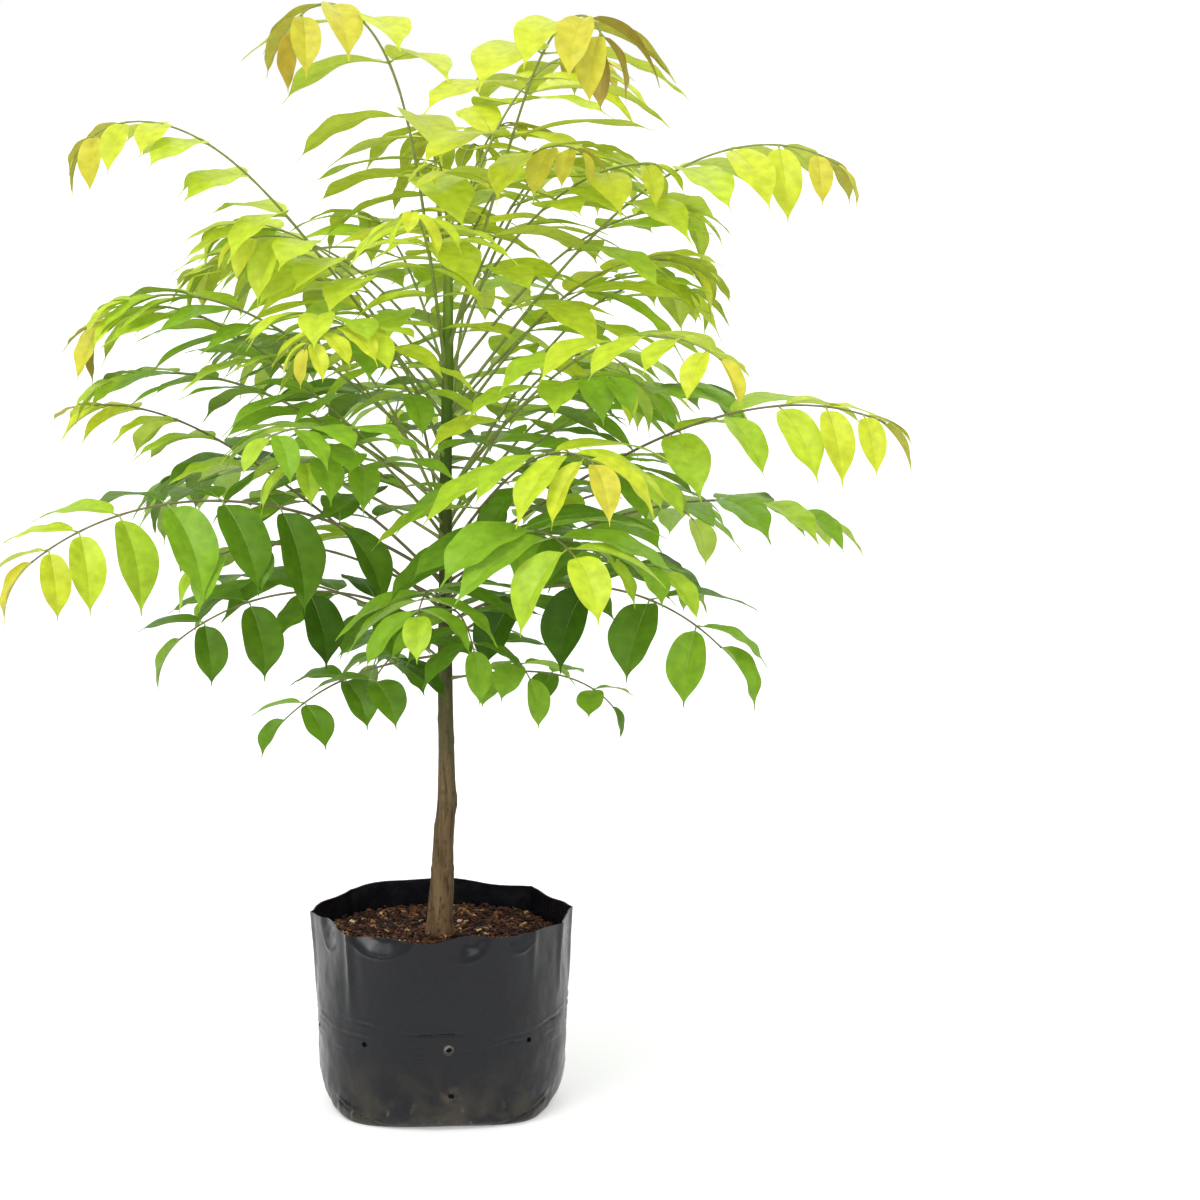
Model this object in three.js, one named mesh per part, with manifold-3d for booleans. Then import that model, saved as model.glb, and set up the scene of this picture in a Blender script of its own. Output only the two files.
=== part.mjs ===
// A young june plum tree in a black nursery grow bag, in millimetres, +Z up.
// The origin is the centre of the bag's flat underside. +X is to the right and -Y to the front.
// The tree is one unbranched trunk with compound leaves, called fronds here. Each frond is one
// solid: a stalk with paired leaflets fused on. The soil clears the bag's floor and the trunk by
// CLEARANCE, and no frond runs into another.
import * as THREE from "three";
import Module from "manifold-3d";

const wasm = await Module();
wasm.setup();

const CLEARANCE = 0.3;

// Grow bag: a film shell on a flat, squarish foot, round higher up, with a wavy rim and punched
// drain holes. The profile gives radius, height and how square each ring is, from the foot up.
const BAG_HEIGHT = 150;
const BAG_WALL = 2;
const BAG_SIDES = 32;
const BAG_PROFILE = [
  [78, 0, 1.0], [85, 3, 0.65], [90.5, 11, 0.35], [94.5, 26, 0.12], [96, 66, 0], [97.5, 112, 0],
  [100, BAG_HEIGHT, 0],
];
const SQUARE_POWER = 4;
const BAG_LOBE = 1.0;
const RIM_WAVE = 2.4;

// Flattened panels between upright creases near the rim: from and to in degrees, and the inset at
// the middle. They fade out down the wall.
const PANELS = [[0, 45, 8], [135, 180, 3], [180, 225, 6], [315, 337.5, 1.5], [337.5, 360, 3]];
const PANEL_BOTTOM = 70;
const PANEL_TOP = 145;

// Drain holes in rows: height, number and the angle of the first
const HOLE_ROWS = [[64, 9, 33], [28, 4, 94]];
const HOLE_RADIUS = 3;
const HOLE_DEPTH = 6;
const HOLE_SIDES = 6;

// Soil: fills the bag to just under the rim, lower at its brim, level at the foot of the trunk,
// with bumps between, given as radius and height
const SOIL_TOP = 129;
const SOIL_BRIM_DROP = 2.2;
const SOIL_BUMPS = [[74, 2.0], [42, 1.0]];
const SOIL_LEVEL_RADIUS = 15;
const SOIL_SIDE_GAP = 0.8;

// Trunk: height, distance of its centre to the right, radius. Fronds keep TRUNK_ROOM from it.
const TRUNK_SIDES = 10;
const TRUNK_ROOM = 0.33;
const TRUNK = [
  [SOIL_TOP + CLEARANCE, -1.6, 11.6], [138, -1.2, 10.0], [172, 1.2, 9.0], [202, 2.3, 7.7], [233, 5.0, 7.2],
  [251, 5.2, 6.5], [282, 4.8, 5.9], [334, 4.4, 5.6], [418, 5.3, 4.9], [496, 6.2, 4.5],
  [566, 8.2, 4.2], [650, 8.8, 3.4], [670, 9.0, 2.4], [684, 9.3, 1.2],
];

// Fronds. The stalk leaves the trunk at the node height and heads for the azimuth, seen from
// above: 0 is right, 90 back, 180 left and 270 front. It starts at the rise angle above level and
// has lost the droop angle at its tip, later along its length where the curl is higher. The roll
// turns the frond about its stalk, its left side up. The sweep leans the leaflets forward from
// square to the stalk, and the fan leans them further towards its tip. Sizes in mm and degrees.
const FROND_KEYS = [
  "name", "node", "azimuth", "rise", "droop", "curl", "length", "pairs", "leaflet", "roll", "sweep", "fan",
];
const FRONDS = [
  ["left_low_small", 346, 206, -2, 38, 1.6, 140, 3, 50, -25, -12, 40],
  ["left_low", 359, 184, 44, 82, 0.9, 214, 4, 70, -45, -26, 50],
  ["left_long", 404, 190, 34, 72, 1.4, 330, 7, 90, -42, -32, 50],
  ["left_thin", 381, 168, 38, 46, 3.9, 318, 7, 72, -5, 52, 8],
  ["left_mid", 458, 176, 42, 96, 5.0, 316, 8, 88, -10, 52, 0],
  ["left_high", 527, 188, 53, 110, 5.2, 370, 8, 88, -12, 36, -24],
  ["left_back", 539, 150, 44, 72, 2.4, 250, 7, 100, 0, 50, 8],
  ["front_left", 497, 236, 58, 92, 2.0, 224, 8, 66, 0, 4, 30],
  ["top_left", 563, 222, 80, 150, 5.0, 350, 7, 108, 0, 14, 14],
  ["top_right", 580, 305, 63, 174, 8.0, 340, 8, 118, 0, 18, 14],
  ["tip_back", 644, 72, 70, 110, 3.0, 130, 4, 66, 0, 11, 38],
  ["tip_front", 660, 262, 66, 110, 3.0, 95, 3, 50, 0, 11, 38],
  ["right_low_small", 328, 342, 10, 62, 2.5, 138, 3, 44, 15, -5, 40],
  ["right_low", 371, 334, 30, 72, 1.3, 238, 4, 84, 40, -22, 60],
  ["front_low", 390, 292, 33, 56, 2.0, 256, 6, 106, 10, -9, 38],
  ["right_mid", 395, 2, 27, 50, 2.0, 296, 6, 84, 0, 15, 40],
  ["front_mid", 424, 297, 37, 52, 2.4, 252, 6, 100, 10, -9, 38],
  ["right_long", 415, 348, 34, 58, 2.8, 362, 7, 82, 30, 10, 30],
  ["right_bunch", 469, 314, 44, 72, 2.4, 318, 7, 84, 0, -10, 36],
  ["right_back_low", 468, 30, 52, 86, 3.1, 292, 7, 88, 0, 42, 10],
  ["right_back", 515, 16, 52, 80, 2.6, 252, 7, 100, 0, 46, 10],
  ["right_high", 532, 350, 52, 86, 3.2, 374, 7, 98, 12, 34, -20],
  ["front_foot", 380, 284, 16, 62, 1.2, 90, 4, 66, 0, -4, 38],
  ["front_foot_left", 362, 226, 4, 66, 1.3, 96, 3, 70, 0, -4, 38],
  ["back_high", 556, 60, 54, 80, 2.2, 330, 8, 100, 0, 16, 38],
  ["back_right_low", 386, 44, 32, 70, 1.8, 300, 6, 86, 0, 11, 38],
  ["back_right_mid", 444, 56, 44, 80, 2.2, 310, 6, 92, 0, 11, 38],
  ["back_left_low", 400, 138, 34, 70, 1.8, 305, 6, 88, 0, 11, 38],
  ["back_left_mid", 450, 120, 46, 85, 2.2, 320, 7, 94, 0, 11, 38],
  ["back_mid", 426, 98, 40, 75, 2.0, 315, 6, 90, 0, 6, 38],
  ["back_left_high", 500, 128, 52, 86, 2.4, 300, 6, 96, 0, 11, 38],
  ["back_right_high", 486, 82, 52, 84, 2.4, 300, 6, 94, 0, 11, 38],
  ["back_top", 606, 98, 66, 96, 2.8, 215, 6, 100, 0, 6, 38],
  ["back_left_inner", 434, 155, 28, 60, 2.0, 240, 6, 90, 0, 16, 38],
  ["back_low_small", 340, 112, 10, 62, 2.0, 160, 4, 52, 0, -9, 38],
  ["front_high", 545, 262, 56, 48, 2.0, 230, 7, 74, 0, 0, 30],
  ["front_left_mid", 436, 236, 42, 56, 2.0, 250, 7, 78, 0, 8, 30],
];

// Stalk of a frond: bare for a share of its length, thinner where it is shorter than FULL_STALK
const STALK_SIDES = 3;
const CURVE_STEPS = 60;
const STALK_RADIUS = 1.9;
const STALK_TIP_RADIUS = 0.9;
const FULL_STALK = 270;
const SHORT_STALK_SHARE = 0.55;
const FOOT_RADIUS = 2.9;
const FOOT_LENGTH = 9;
const FOOT_INSET = 0.5;
const BARE_SHARE = 0.27;
const BARE_MIDDLE = 0.16;
const SPACING_POWER = 1.4;

// Leaflet shape: its stations give a share of its length, half its width as a share of the full
// width, and its depth as a share of its length. The width is a share of the length.
const LEAF_STATIONS = [[0.22, 0.42, 0.038], [0.6, 0.45, 0.026]];
const BLADE_START = [0.1, 0.2, 0.018];
const LEAF_STEPS = 8;
const LEAF_WIDTH = 0.38;
const OLD_LEAF_WIDTH = 0.52;
const FIRST_SIZE = 0.88;
const OLD_LAST_SIZE = 0.68;
const LAST_SIZE = 0.34;

// Leaflet carriage, in degrees: lifted at its root, sagging along its length, and limp near the
// tip of a frond, most so in the young top of the crown. A leaflet rises with its stalk only by
// shares of the stalk's rise, and LEVELLING is how far its blade turns flat side up.
const SWEEP_LIFT = 0.35;
const RAISED_SHARE = 0.4;
const LEAF_LIFT = 10;
const LEAF_SAG = 50;
const SAG_POWER = 1.2;
const LIMP_FROM = 0.4;
const TIP_LIMP = 50;
const OLD_LIMP_SHARE = 0.35;
const TERMINAL_LIMP_SHARE = 0.4;
const TERMINAL_INSET = 4;
const LEVELLING = 0.94;
const YOUNG_FROM = 350;
const YOUNG_TO = 620;
const NARROWING = 4;
const JITTER = { heading: 9, rise: 8, bank: 10, size: 0.08, sag: 0.25 };
// Turns tried in order where a leaflet meets another: heading, rise and a share of its size
const TRIES = [
  [0, 0, 1], [0, -14, 1], [12, 6, 0.95], [-12, 6, 0.95], [0, 20, 0.9], [20, -20, 0.8], [-20, -20, 0.8],
];

const rad = THREE.MathUtils.degToRad;
const clamp01 = (x) => THREE.MathUtils.clamp(x, 0, 1);
const mix = THREE.MathUtils.lerp;
const UP = new THREE.Vector3(0, 0, 1);
const LOWEST = rad(-86);

// A repeatable number from -1 to 1 for three whole numbers
function chance(a, b, c) {
  const wave = Math.sin(a * 12.9898 + b * 78.233 + c * 37.719) * 43758.5453;
  return 2 * (wave - Math.floor(wave)) - 1;
}

// A closed skin over rings of points that run on along the piece. A ring of one point is a tip,
// and a full ring at either end gets a flat cap. Its four-sided faces are split along one
// diagonal, or along the other where asked, to match a skin that runs the other way.
function loft(rings, other = false) {
  const points = rings.flat();
  const faces = [];
  let start = 0;
  for (let r = 0; r + 1 < rings.length; r++) {
    const here = rings[r].length;
    const next = start + here;
    const sides = Math.max(here, rings[r + 1].length);
    const tipNext = rings[r + 1].length === 1;
    for (let k = 0; k < sides; k++) {
      const k2 = (k + 1) % sides;
      if (here === 1) {
        faces.push(start, next + k2, next + k);
      } else if (tipNext) {
        faces.push(start + k, start + k2, next);
      } else if (other) {
        faces.push(start + k, start + k2, next + k, start + k2, next + k2, next + k);
      } else {
        faces.push(start + k, start + k2, next + k2, start + k, next + k2, next + k);
      }
    }
    start = next;
  }
  for (let k = 1; k + 1 < rings[0].length; k++) faces.push(0, k + 1, k);
  const end = rings[rings.length - 1].length;
  for (let k = 1; k + 1 < end; k++) faces.push(start, start + k, start + k + 1);

  const geometry = new THREE.BufferGeometry();
  const numbers = points.flatMap((p) => [p.x, p.y, p.z]);
  geometry.setAttribute("position", new THREE.Float32BufferAttribute(numbers, 3));
  geometry.setIndex(faces);
  return geometry;
}

// The solid of a closed geometry, for joining and cutting, and back again. Only the largest piece
// is kept: a cut can leave small scraps loose.
function toSolid(geometry) {
  return new wasm.Manifold(new wasm.Mesh({
    numProp: 3,
    vertProperties: new Float32Array(geometry.attributes.position.array),
    triVerts: new Uint32Array(geometry.index.array),
  }));
}

function toGeometry(solid) {
  const pieces = solid.decompose();
  const main = pieces.reduce((best, piece) => (piece.volume() > best.volume() ? piece : best));
  const mesh = main.getMesh();
  const geometry = new THREE.BufferGeometry();
  geometry.setAttribute("position", new THREE.BufferAttribute(new Float32Array(mesh.vertProperties), 3));
  geometry.setIndex(new THREE.BufferAttribute(new Uint32Array(mesh.triVerts), 1));
  return geometry;
}

// Grow bag and soil: the distance of the wall from the middle at an angle and a height
function wallRadius(angle, radius, height, square) {
  const corner = (Math.cos(angle) ** SQUARE_POWER + Math.sin(angle) ** SQUARE_POWER) ** (-1 / SQUARE_POWER);
  const lobe = BAG_LOBE * (0.6 * Math.sin(3 * angle + 0.7) + 0.4 * Math.sin(7 * angle + 2.1));
  const fade = THREE.MathUtils.smoothstep(height, PANEL_BOTTOM, PANEL_TOP);
  return radius * mix(1, corner, square) + lobe - fade * panelInset(THREE.MathUtils.radToDeg(angle));
}

function panelInset(degrees) {
  const panel = PANELS.find(([from, to]) => degrees > from && degrees < to);
  if (!panel) return 0;
  const [from, to, inset] = panel;
  return inset * Math.sin((Math.PI * (degrees - from)) / (to - from));
}

function rimHeight(angle) {
  const wave = 0.6 * Math.sin(4 * angle + 0.4) + 0.4 * Math.sin(9 * angle + 1.0);
  return BAG_HEIGHT + RIM_WAVE * (wave - 1);
}

function bagRing(radius, height, square = 0) {
  return Array.from({ length: BAG_SIDES }, (_, k) => {
    const angle = (2 * Math.PI * k) / BAG_SIDES;
    const r = wallRadius(angle, radius, height, square);
    const z = height === BAG_HEIGHT ? rimHeight(angle) : height;
    return new THREE.Vector3(r * Math.cos(angle), r * Math.sin(angle), z);
  });
}

function growBag() {
  const outer = BAG_PROFILE.map(([r, z, square]) => bagRing(r, z, square));
  const inner = BAG_PROFILE.map(([r, z, square]) => bagRing(r - BAG_WALL, Math.max(z, BAG_WALL), square));
  const bottom = [new THREE.Vector3(0, 0, 0)];
  const floor = [new THREE.Vector3(0, 0, BAG_WALL)];
  let bag = toSolid(loft([bottom, ...outer, ...inner.reverse(), floor]));
  for (const [height, count, start] of HOLE_ROWS) {
    for (let k = 0; k < count; k++) {
      bag = bag.subtract(drainHole(height, start + (360 * k) / count));
    }
  }
  return toGeometry(bag);
}

// A short punch through the wall at a height and an angle
function drainHole(height, degrees) {
  const face = Array.from({ length: HOLE_SIDES }, (_, k) => (2 * Math.PI * k) / HOLE_SIDES);
  const rings = [-HOLE_DEPTH, HOLE_DEPTH].map((depth) => face.map((angle) => new THREE.Vector3(
    profileRadius(height) + depth,
    HOLE_RADIUS * Math.cos(angle),
    height + HOLE_RADIUS * Math.sin(angle),
  )));
  return toSolid(loft(rings).rotateZ(rad(degrees)));
}

function profileRadius(height) {
  const upper = BAG_PROFILE.findIndex(([, z]) => z > height);
  const [r0, z0] = BAG_PROFILE[upper - 1];
  const [r1, z1] = BAG_PROFILE[upper];
  return mix(r0, r1, (height - z0) / (z1 - z0));
}

// A level ring at a height, a gap inside the wall's outer face, straight between two of its rings
function levelRing(height, gap) {
  const upper = BAG_PROFILE.findIndex(([, z]) => z > height);
  const [below, above] = BAG_PROFILE.slice(upper - 1, upper + 1).map(
    ([r, z, square]) => bagRing(r - gap, z, square),
  );
  return below.map((p, k) => p.lerp(above[k], (height - p.z) / (above[k].z - p.z)));
}

function soil() {
  const floor = BAG_WALL + CLEARANCE;
  const gap = BAG_WALL + SOIL_SIDE_GAP;
  const buried = BAG_PROFILE.filter(([, z]) => z < SOIL_TOP);
  const walls = buried.map(([r, z, square]) => bagRing(r - gap, Math.max(z, floor), square));
  const brim = levelRing(SOIL_TOP - SOIL_BRIM_DROP, gap);
  const mounds = SOIL_BUMPS.map(([radius, bump], ring) => bagRing(radius, SOIL_TOP).map((p, k) => {
    p.z += bump * chance(ring, k, 1);
    return p;
  }));
  const level = bagRing(SOIL_LEVEL_RADIUS, SOIL_TOP);
  const bottom = [new THREE.Vector3(0, 0, floor)];
  const middle = [new THREE.Vector3(0, 0, SOIL_TOP)];
  return loft([bottom, ...walls, brim, ...mounds, level, middle], true);
}

// Trunk: its centre and radius at a height, and its skin, with room round it where asked
function trunkAt(height) {
  const upper = Math.max(1, TRUNK.findIndex(([z]) => z >= height));
  const [z0, x0, r0] = TRUNK[upper - 1];
  const [z1, x1, r1] = TRUNK[upper];
  const share = (height - z0) / (z1 - z0);
  return { centre: new THREE.Vector3(mix(x0, x1, share), 0, height), radius: mix(r0, r1, share) };
}

function trunkSkin(room) {
  return loft(TRUNK.map(([z, x, r]) => Array.from({ length: TRUNK_SIDES }, (_, k) => {
    const angle = (2 * Math.PI * k) / TRUNK_SIDES;
    return new THREE.Vector3(x + (r + room) * Math.cos(angle), (r + room) * Math.sin(angle), z);
  })));
}

// Direction at a heading and an angle above level
function aim(heading, rise) {
  const flat = Math.cos(rise);
  return new THREE.Vector3(flat * Math.cos(heading), flat * Math.sin(heading), Math.sin(rise));
}

// Where along the stalk a pair of leaflets sits: closer together towards the tip
function seatShare(pair, pairs) {
  return BARE_SHARE + (1 - BARE_SHARE) * (1 - (1 - pair / pairs) ** SPACING_POWER);
}

// The stalk's stations: its foot, its bare length, each pair's seat and its tip, each with its
// point, its direction, and the frond's left and upper sides after its roll
function stalkStations({ node, azimuth, rise, droop, curl, length, pairs, roll }) {
  const heading = rad(azimuth);
  const left = new THREE.Vector3(-Math.sin(heading), Math.cos(heading), 0);
  const direction = (share) => aim(heading, rad(rise - droop * share ** curl));
  const { centre, radius } = trunkAt(node);
  const point = centre.addScaledVector(aim(heading, 0), radius * FOOT_INSET);
  const slender = mix(SHORT_STALK_SHARE, 1, clamp01(length / FULL_STALK));
  const seats = Array.from({ length: pairs + 1 }, (_, pair) => seatShare(pair, pairs));
  let reached = 0;
  return [0, FOOT_LENGTH / length, BARE_MIDDLE, ...seats].map((share) => {
    const step = (share - reached) / CURVE_STEPS;
    for (let i = 0; i < CURVE_STEPS; i++) {
      point.addScaledVector(direction(reached + (i + 0.5) * step), step * length);
    }
    reached = share;
    const along = direction(share);
    const upper = along.clone().cross(left);
    const side = left.clone().multiplyScalar(Math.cos(rad(roll)));
    side.addScaledVector(upper, Math.sin(rad(roll)));
    const thin = mix(STALK_RADIUS, STALK_TIP_RADIUS, share) * slender;
    const thick = mix(FOOT_RADIUS, thin, clamp01((share * length) / FOOT_LENGTH));
    return { point: point.clone(), along, side, upper: along.clone().cross(side), radius: thick };
  });
}

function stalkSkin(stations) {
  return loft(stations.map(({ point, side, upper, radius }) => (
    Array.from({ length: STALK_SIDES }, (_, k) => {
      const angle = Math.PI / 2 + (2 * Math.PI * k) / STALK_SIDES;
      const rib = side.clone().multiplyScalar(Math.cos(angle)).addScaledVector(upper, Math.sin(angle));
      return point.clone().addScaledVector(rib, radius);
    })
  )));
}

// How one leaflet is carried: where it starts, its heading, rise, sag, bank and size
function leafletPose(frond, index, pair, side) {
  const terminal = pair === frond.pairs;
  const share = pair / frond.pairs;
  const seat = frond.stations[frond.stations.length - 1 - frond.pairs + pair];
  const late = THREE.MathUtils.smoothstep(share, LIMP_FROM, 1);
  const young = clamp01((frond.node - YOUNG_FROM) / (YOUNG_TO - YOUNG_FROM));
  const turn = (kind) => chance(index + 1, pair * 2 + (side > 0 ? 1 : 0), kind);

  const raised = Math.max(0, side * frond.roll);
  const forward = terminal ? 90 : frond.sweep + frond.fan * share + raised;
  const ahead = terminal ? seat.along.clone() : aim(rad(frond.azimuth), 0);
  if (!terminal) ahead.z = seat.along.z * SWEEP_LIFT;
  const out = seat.side.clone().multiplyScalar(side * Math.cos(rad(forward)));
  out.addScaledVector(ahead, Math.sin(rad(forward))).normalize();
  const heading = Math.atan2(out.y, out.x) + rad(JITTER.heading) * turn(1);
  const limp = TIP_LIMP * late * mix(OLD_LIMP_SHARE, 1, young) * (terminal ? TERMINAL_LIMP_SHARE : 1);
  const tilt = Math.asin(out.z) * (out.z > 0 ? RAISED_SHARE : 1);
  const rise = tilt + rad(LEAF_LIFT - limp + JITTER.rise * turn(2));

  const face = seat.upper.clone().lerp(UP, LEVELLING).normalize();
  const level = new THREE.Vector3(-Math.sin(heading), Math.cos(heading), 0);
  const along = aim(heading, rise);
  const edge = face.clone().cross(along);
  const flat = Math.atan2(edge.dot(along.clone().cross(level)), edge.dot(level));
  const bank = flat + rad(JITTER.bank) * turn(3);
  const size = (pair === 0 ? FIRST_SIZE : 1) * mix(1, mix(OLD_LAST_SIZE, LAST_SIZE, young), late);
  const length = frond.leaflet * size * (1 + JITTER.size * turn(4));
  const start = seat.point.clone().addScaledVector(seat.along, terminal ? -TERMINAL_INSET : 0);
  const width = mix(OLD_LEAF_WIDTH, LEAF_WIDTH, clamp01(young * NARROWING));
  const sag = rad(LEAF_SAG) * (1 + JITTER.sag * turn(5));
  return { start, heading, rise, bank, length, width, sag };
}

// A leaflet's skin: rings of two edges and a keel between its root, a point, and its tip. The
// blade alone, for testing room, starts a little way out from the stalk.
function leafletSkin({ start, heading, rise, bank, length, width, sag }, bladeOnly) {
  const level = new THREE.Vector3(-Math.sin(heading), Math.cos(heading), 0);
  const stations = bladeOnly ? [BLADE_START, ...LEAF_STATIONS] : LEAF_STATIONS;
  const rings = bladeOnly ? [] : [[start.clone()]];
  const point = start.clone();
  let reached = 0;
  for (const [share, half, depth] of [...stations, [1, 0, 0]]) {
    const step = (share - reached) / LEAF_STEPS;
    for (let i = 0; i < LEAF_STEPS; i++) {
      const slope = Math.max(LOWEST, rise - sag * (reached + (i + 0.5) * step) ** SAG_POWER);
      point.addScaledVector(aim(heading, slope), step * length);
    }
    reached = share;
    const along = aim(heading, Math.max(LOWEST, rise - sag * share ** SAG_POWER));
    const upper = along.clone().cross(level);
    const across = level.clone().multiplyScalar(Math.cos(bank)).addScaledVector(upper, Math.sin(bank));
    const below = across.clone().cross(along);
    const edge = half * width * length;
    rings.push(share === 1 ? [point.clone()] : [
      point.clone().addScaledVector(across, edge),
      point.clone().addScaledVector(across, -edge),
      point.clone().addScaledVector(below, depth * length),
    ]);
  }
  return loft(rings);
}

// Whether two solids share any space
function meet(a, b) {
  const p = a.boundingBox();
  const q = b.boundingBox();
  for (let axis = 0; axis < 3; axis++) {
    if (p.min[axis] > q.max[axis] || q.min[axis] > p.max[axis]) return false;
  }
  return !a.intersect(b).isEmpty();
}

// All fronds: stalks first, then each leaflet where it clears the trunk and the other fronds, and
// its blade the other blades of its own. One that doesn't is turned or shortened a little, and
// else left out.
function growFronds() {
  const trunkRoom = toSolid(trunkSkin(TRUNK_ROOM));
  const fronds = FRONDS.map((row) => Object.fromEntries(row.map((value, k) => [FROND_KEYS[k], value])));
  for (const frond of fronds) {
    frond.stations = stalkStations(frond);
    frond.stalk = toSolid(stalkSkin(frond.stations));
  }
  const grown = [];
  fronds.forEach((frond, index) => {
    const otherStalks = fronds.filter((other) => other !== frond).map((other) => other.stalk);
    const leaflets = [];
    for (let pair = 0; pair <= frond.pairs; pair++) {
      for (const side of pair < frond.pairs ? [1, -1] : [1]) {
        const pose = leafletPose(frond, index, pair, side);
        const leaflet = placeLeaflet(pose, [trunkRoom, ...otherStalks, ...grown], leaflets);
        if (leaflet) leaflets.push(leaflet);
      }
    }
    const wholes = leaflets.map(({ whole }) => whole);
    grown.push(...wholes);
    frond.solid = wasm.Manifold.union([frond.stalk, ...wholes]).subtract(trunkRoom);
  });
  return fronds;
}

function placeLeaflet(pose, others, ownLeaflets) {
  for (const [turn, lift, size] of TRIES) {
    const tried = {
      ...pose,
      heading: pose.heading + rad(turn),
      rise: pose.rise + rad(lift),
      length: pose.length * size,
    };
    const whole = toSolid(leafletSkin(tried, false));
    const blade = toSolid(leafletSkin(tried, true));
    const blocked = others.some((other) => meet(whole, other))
      || ownLeaflets.some((other) => meet(blade, other.blade));
    if (!blocked) return { whole, blade };
  }
  return null;
}

// Colours: fronds run from deep green at the foot of the crown to lime at its top
function finish(color, roughness) {
  return new THREE.MeshStandardMaterial({ color, roughness, metalness: 0 });
}

const film = finish(0x24262b, 0.38);
const chips = finish(0x54301f, 0.95);
const bark = finish(0x6b5d49, 0.85);
const LOW_GREEN = new THREE.Color(0x2f6b16);
const TOP_GREEN = new THREE.Color(0xa3cc2e);

const tree = new THREE.Group();

function addPiece(name, geometry, material) {
  const piece = new THREE.Mesh(geometry, material);
  piece.name = name;
  tree.add(piece);
}

addPiece("grow_bag", growBag(), film);
addPiece("soil", soil(), chips);
addPiece("trunk", trunkSkin(0), bark);
for (const frond of growFronds()) {
  const share = clamp01((frond.node - YOUNG_FROM) / (YOUNG_TO - YOUNG_FROM));
  const green = finish(LOW_GREEN.clone().lerp(TOP_GREEN, share), 0.5);
  addPiece(`frond_${frond.name}`, toGeometry(frond.solid), green);
}

export default tree;
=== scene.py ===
import math
import random

import bpy
import numpy as np
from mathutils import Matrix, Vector, noise
from mathutils.bvhtree import BVHTree


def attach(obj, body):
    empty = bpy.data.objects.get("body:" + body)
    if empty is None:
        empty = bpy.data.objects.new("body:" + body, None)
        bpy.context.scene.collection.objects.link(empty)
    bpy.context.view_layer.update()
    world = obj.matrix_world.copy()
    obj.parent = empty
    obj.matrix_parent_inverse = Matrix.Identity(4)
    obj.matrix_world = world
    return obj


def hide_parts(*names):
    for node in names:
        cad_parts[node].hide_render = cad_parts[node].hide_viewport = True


# The looks of a young june plum tree in a black grow bag. Lengths are in millimetres here and are
# turned into metres as each piece is made. The first half repeats the named sizes and the growing
# rule of the part's source, so that each fine leaflet lies where its coarse solid does.
MM = 0.001
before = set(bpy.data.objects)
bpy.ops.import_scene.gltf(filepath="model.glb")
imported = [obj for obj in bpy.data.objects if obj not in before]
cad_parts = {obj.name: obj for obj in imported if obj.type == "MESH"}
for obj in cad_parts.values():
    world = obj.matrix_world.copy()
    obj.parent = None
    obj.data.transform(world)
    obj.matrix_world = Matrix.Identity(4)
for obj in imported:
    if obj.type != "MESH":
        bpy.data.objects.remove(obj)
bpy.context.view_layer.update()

# Grow bag, as in the part's source
BAG_HEIGHT = 150
BAG_PROFILE = [
    (78, 0, 1.0), (85, 3, 0.65), (90.5, 11, 0.35), (94.5, 26, 0.12), (96, 66, 0), (97.5, 112, 0),
    (100, BAG_HEIGHT, 0),
]
SQUARE_POWER = 4
BAG_LOBE = 1.0
RIM_WAVE = 2.4
PANELS = [(0, 45, 8), (135, 180, 3), (180, 225, 6), (315, 337.5, 1.5), (337.5, 360, 3)]
PANEL_BOTTOM = 70
PANEL_TOP = 145
HOLE_ROWS = [(64, 9, 33), (28, 4, 94)]
SOIL_TOP = 129

# Trunk: height, distance of its centre to the right, radius
TRUNK_SIDES = 10
TRUNK_ROOM = 0.33
TRUNK = [
    (129.3, -1.6, 11.6), (138, -1.2, 10.0), (172, 1.2, 9.0), (202, 2.3, 7.7), (233, 5.0, 7.2),
    (251, 5.2, 6.5), (282, 4.8, 5.9), (334, 4.4, 5.6), (418, 5.3, 4.9), (496, 6.2, 4.5),
    (566, 8.2, 4.2), (650, 8.8, 3.4), (670, 9.0, 2.4), (684, 9.3, 1.2),
]

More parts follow.
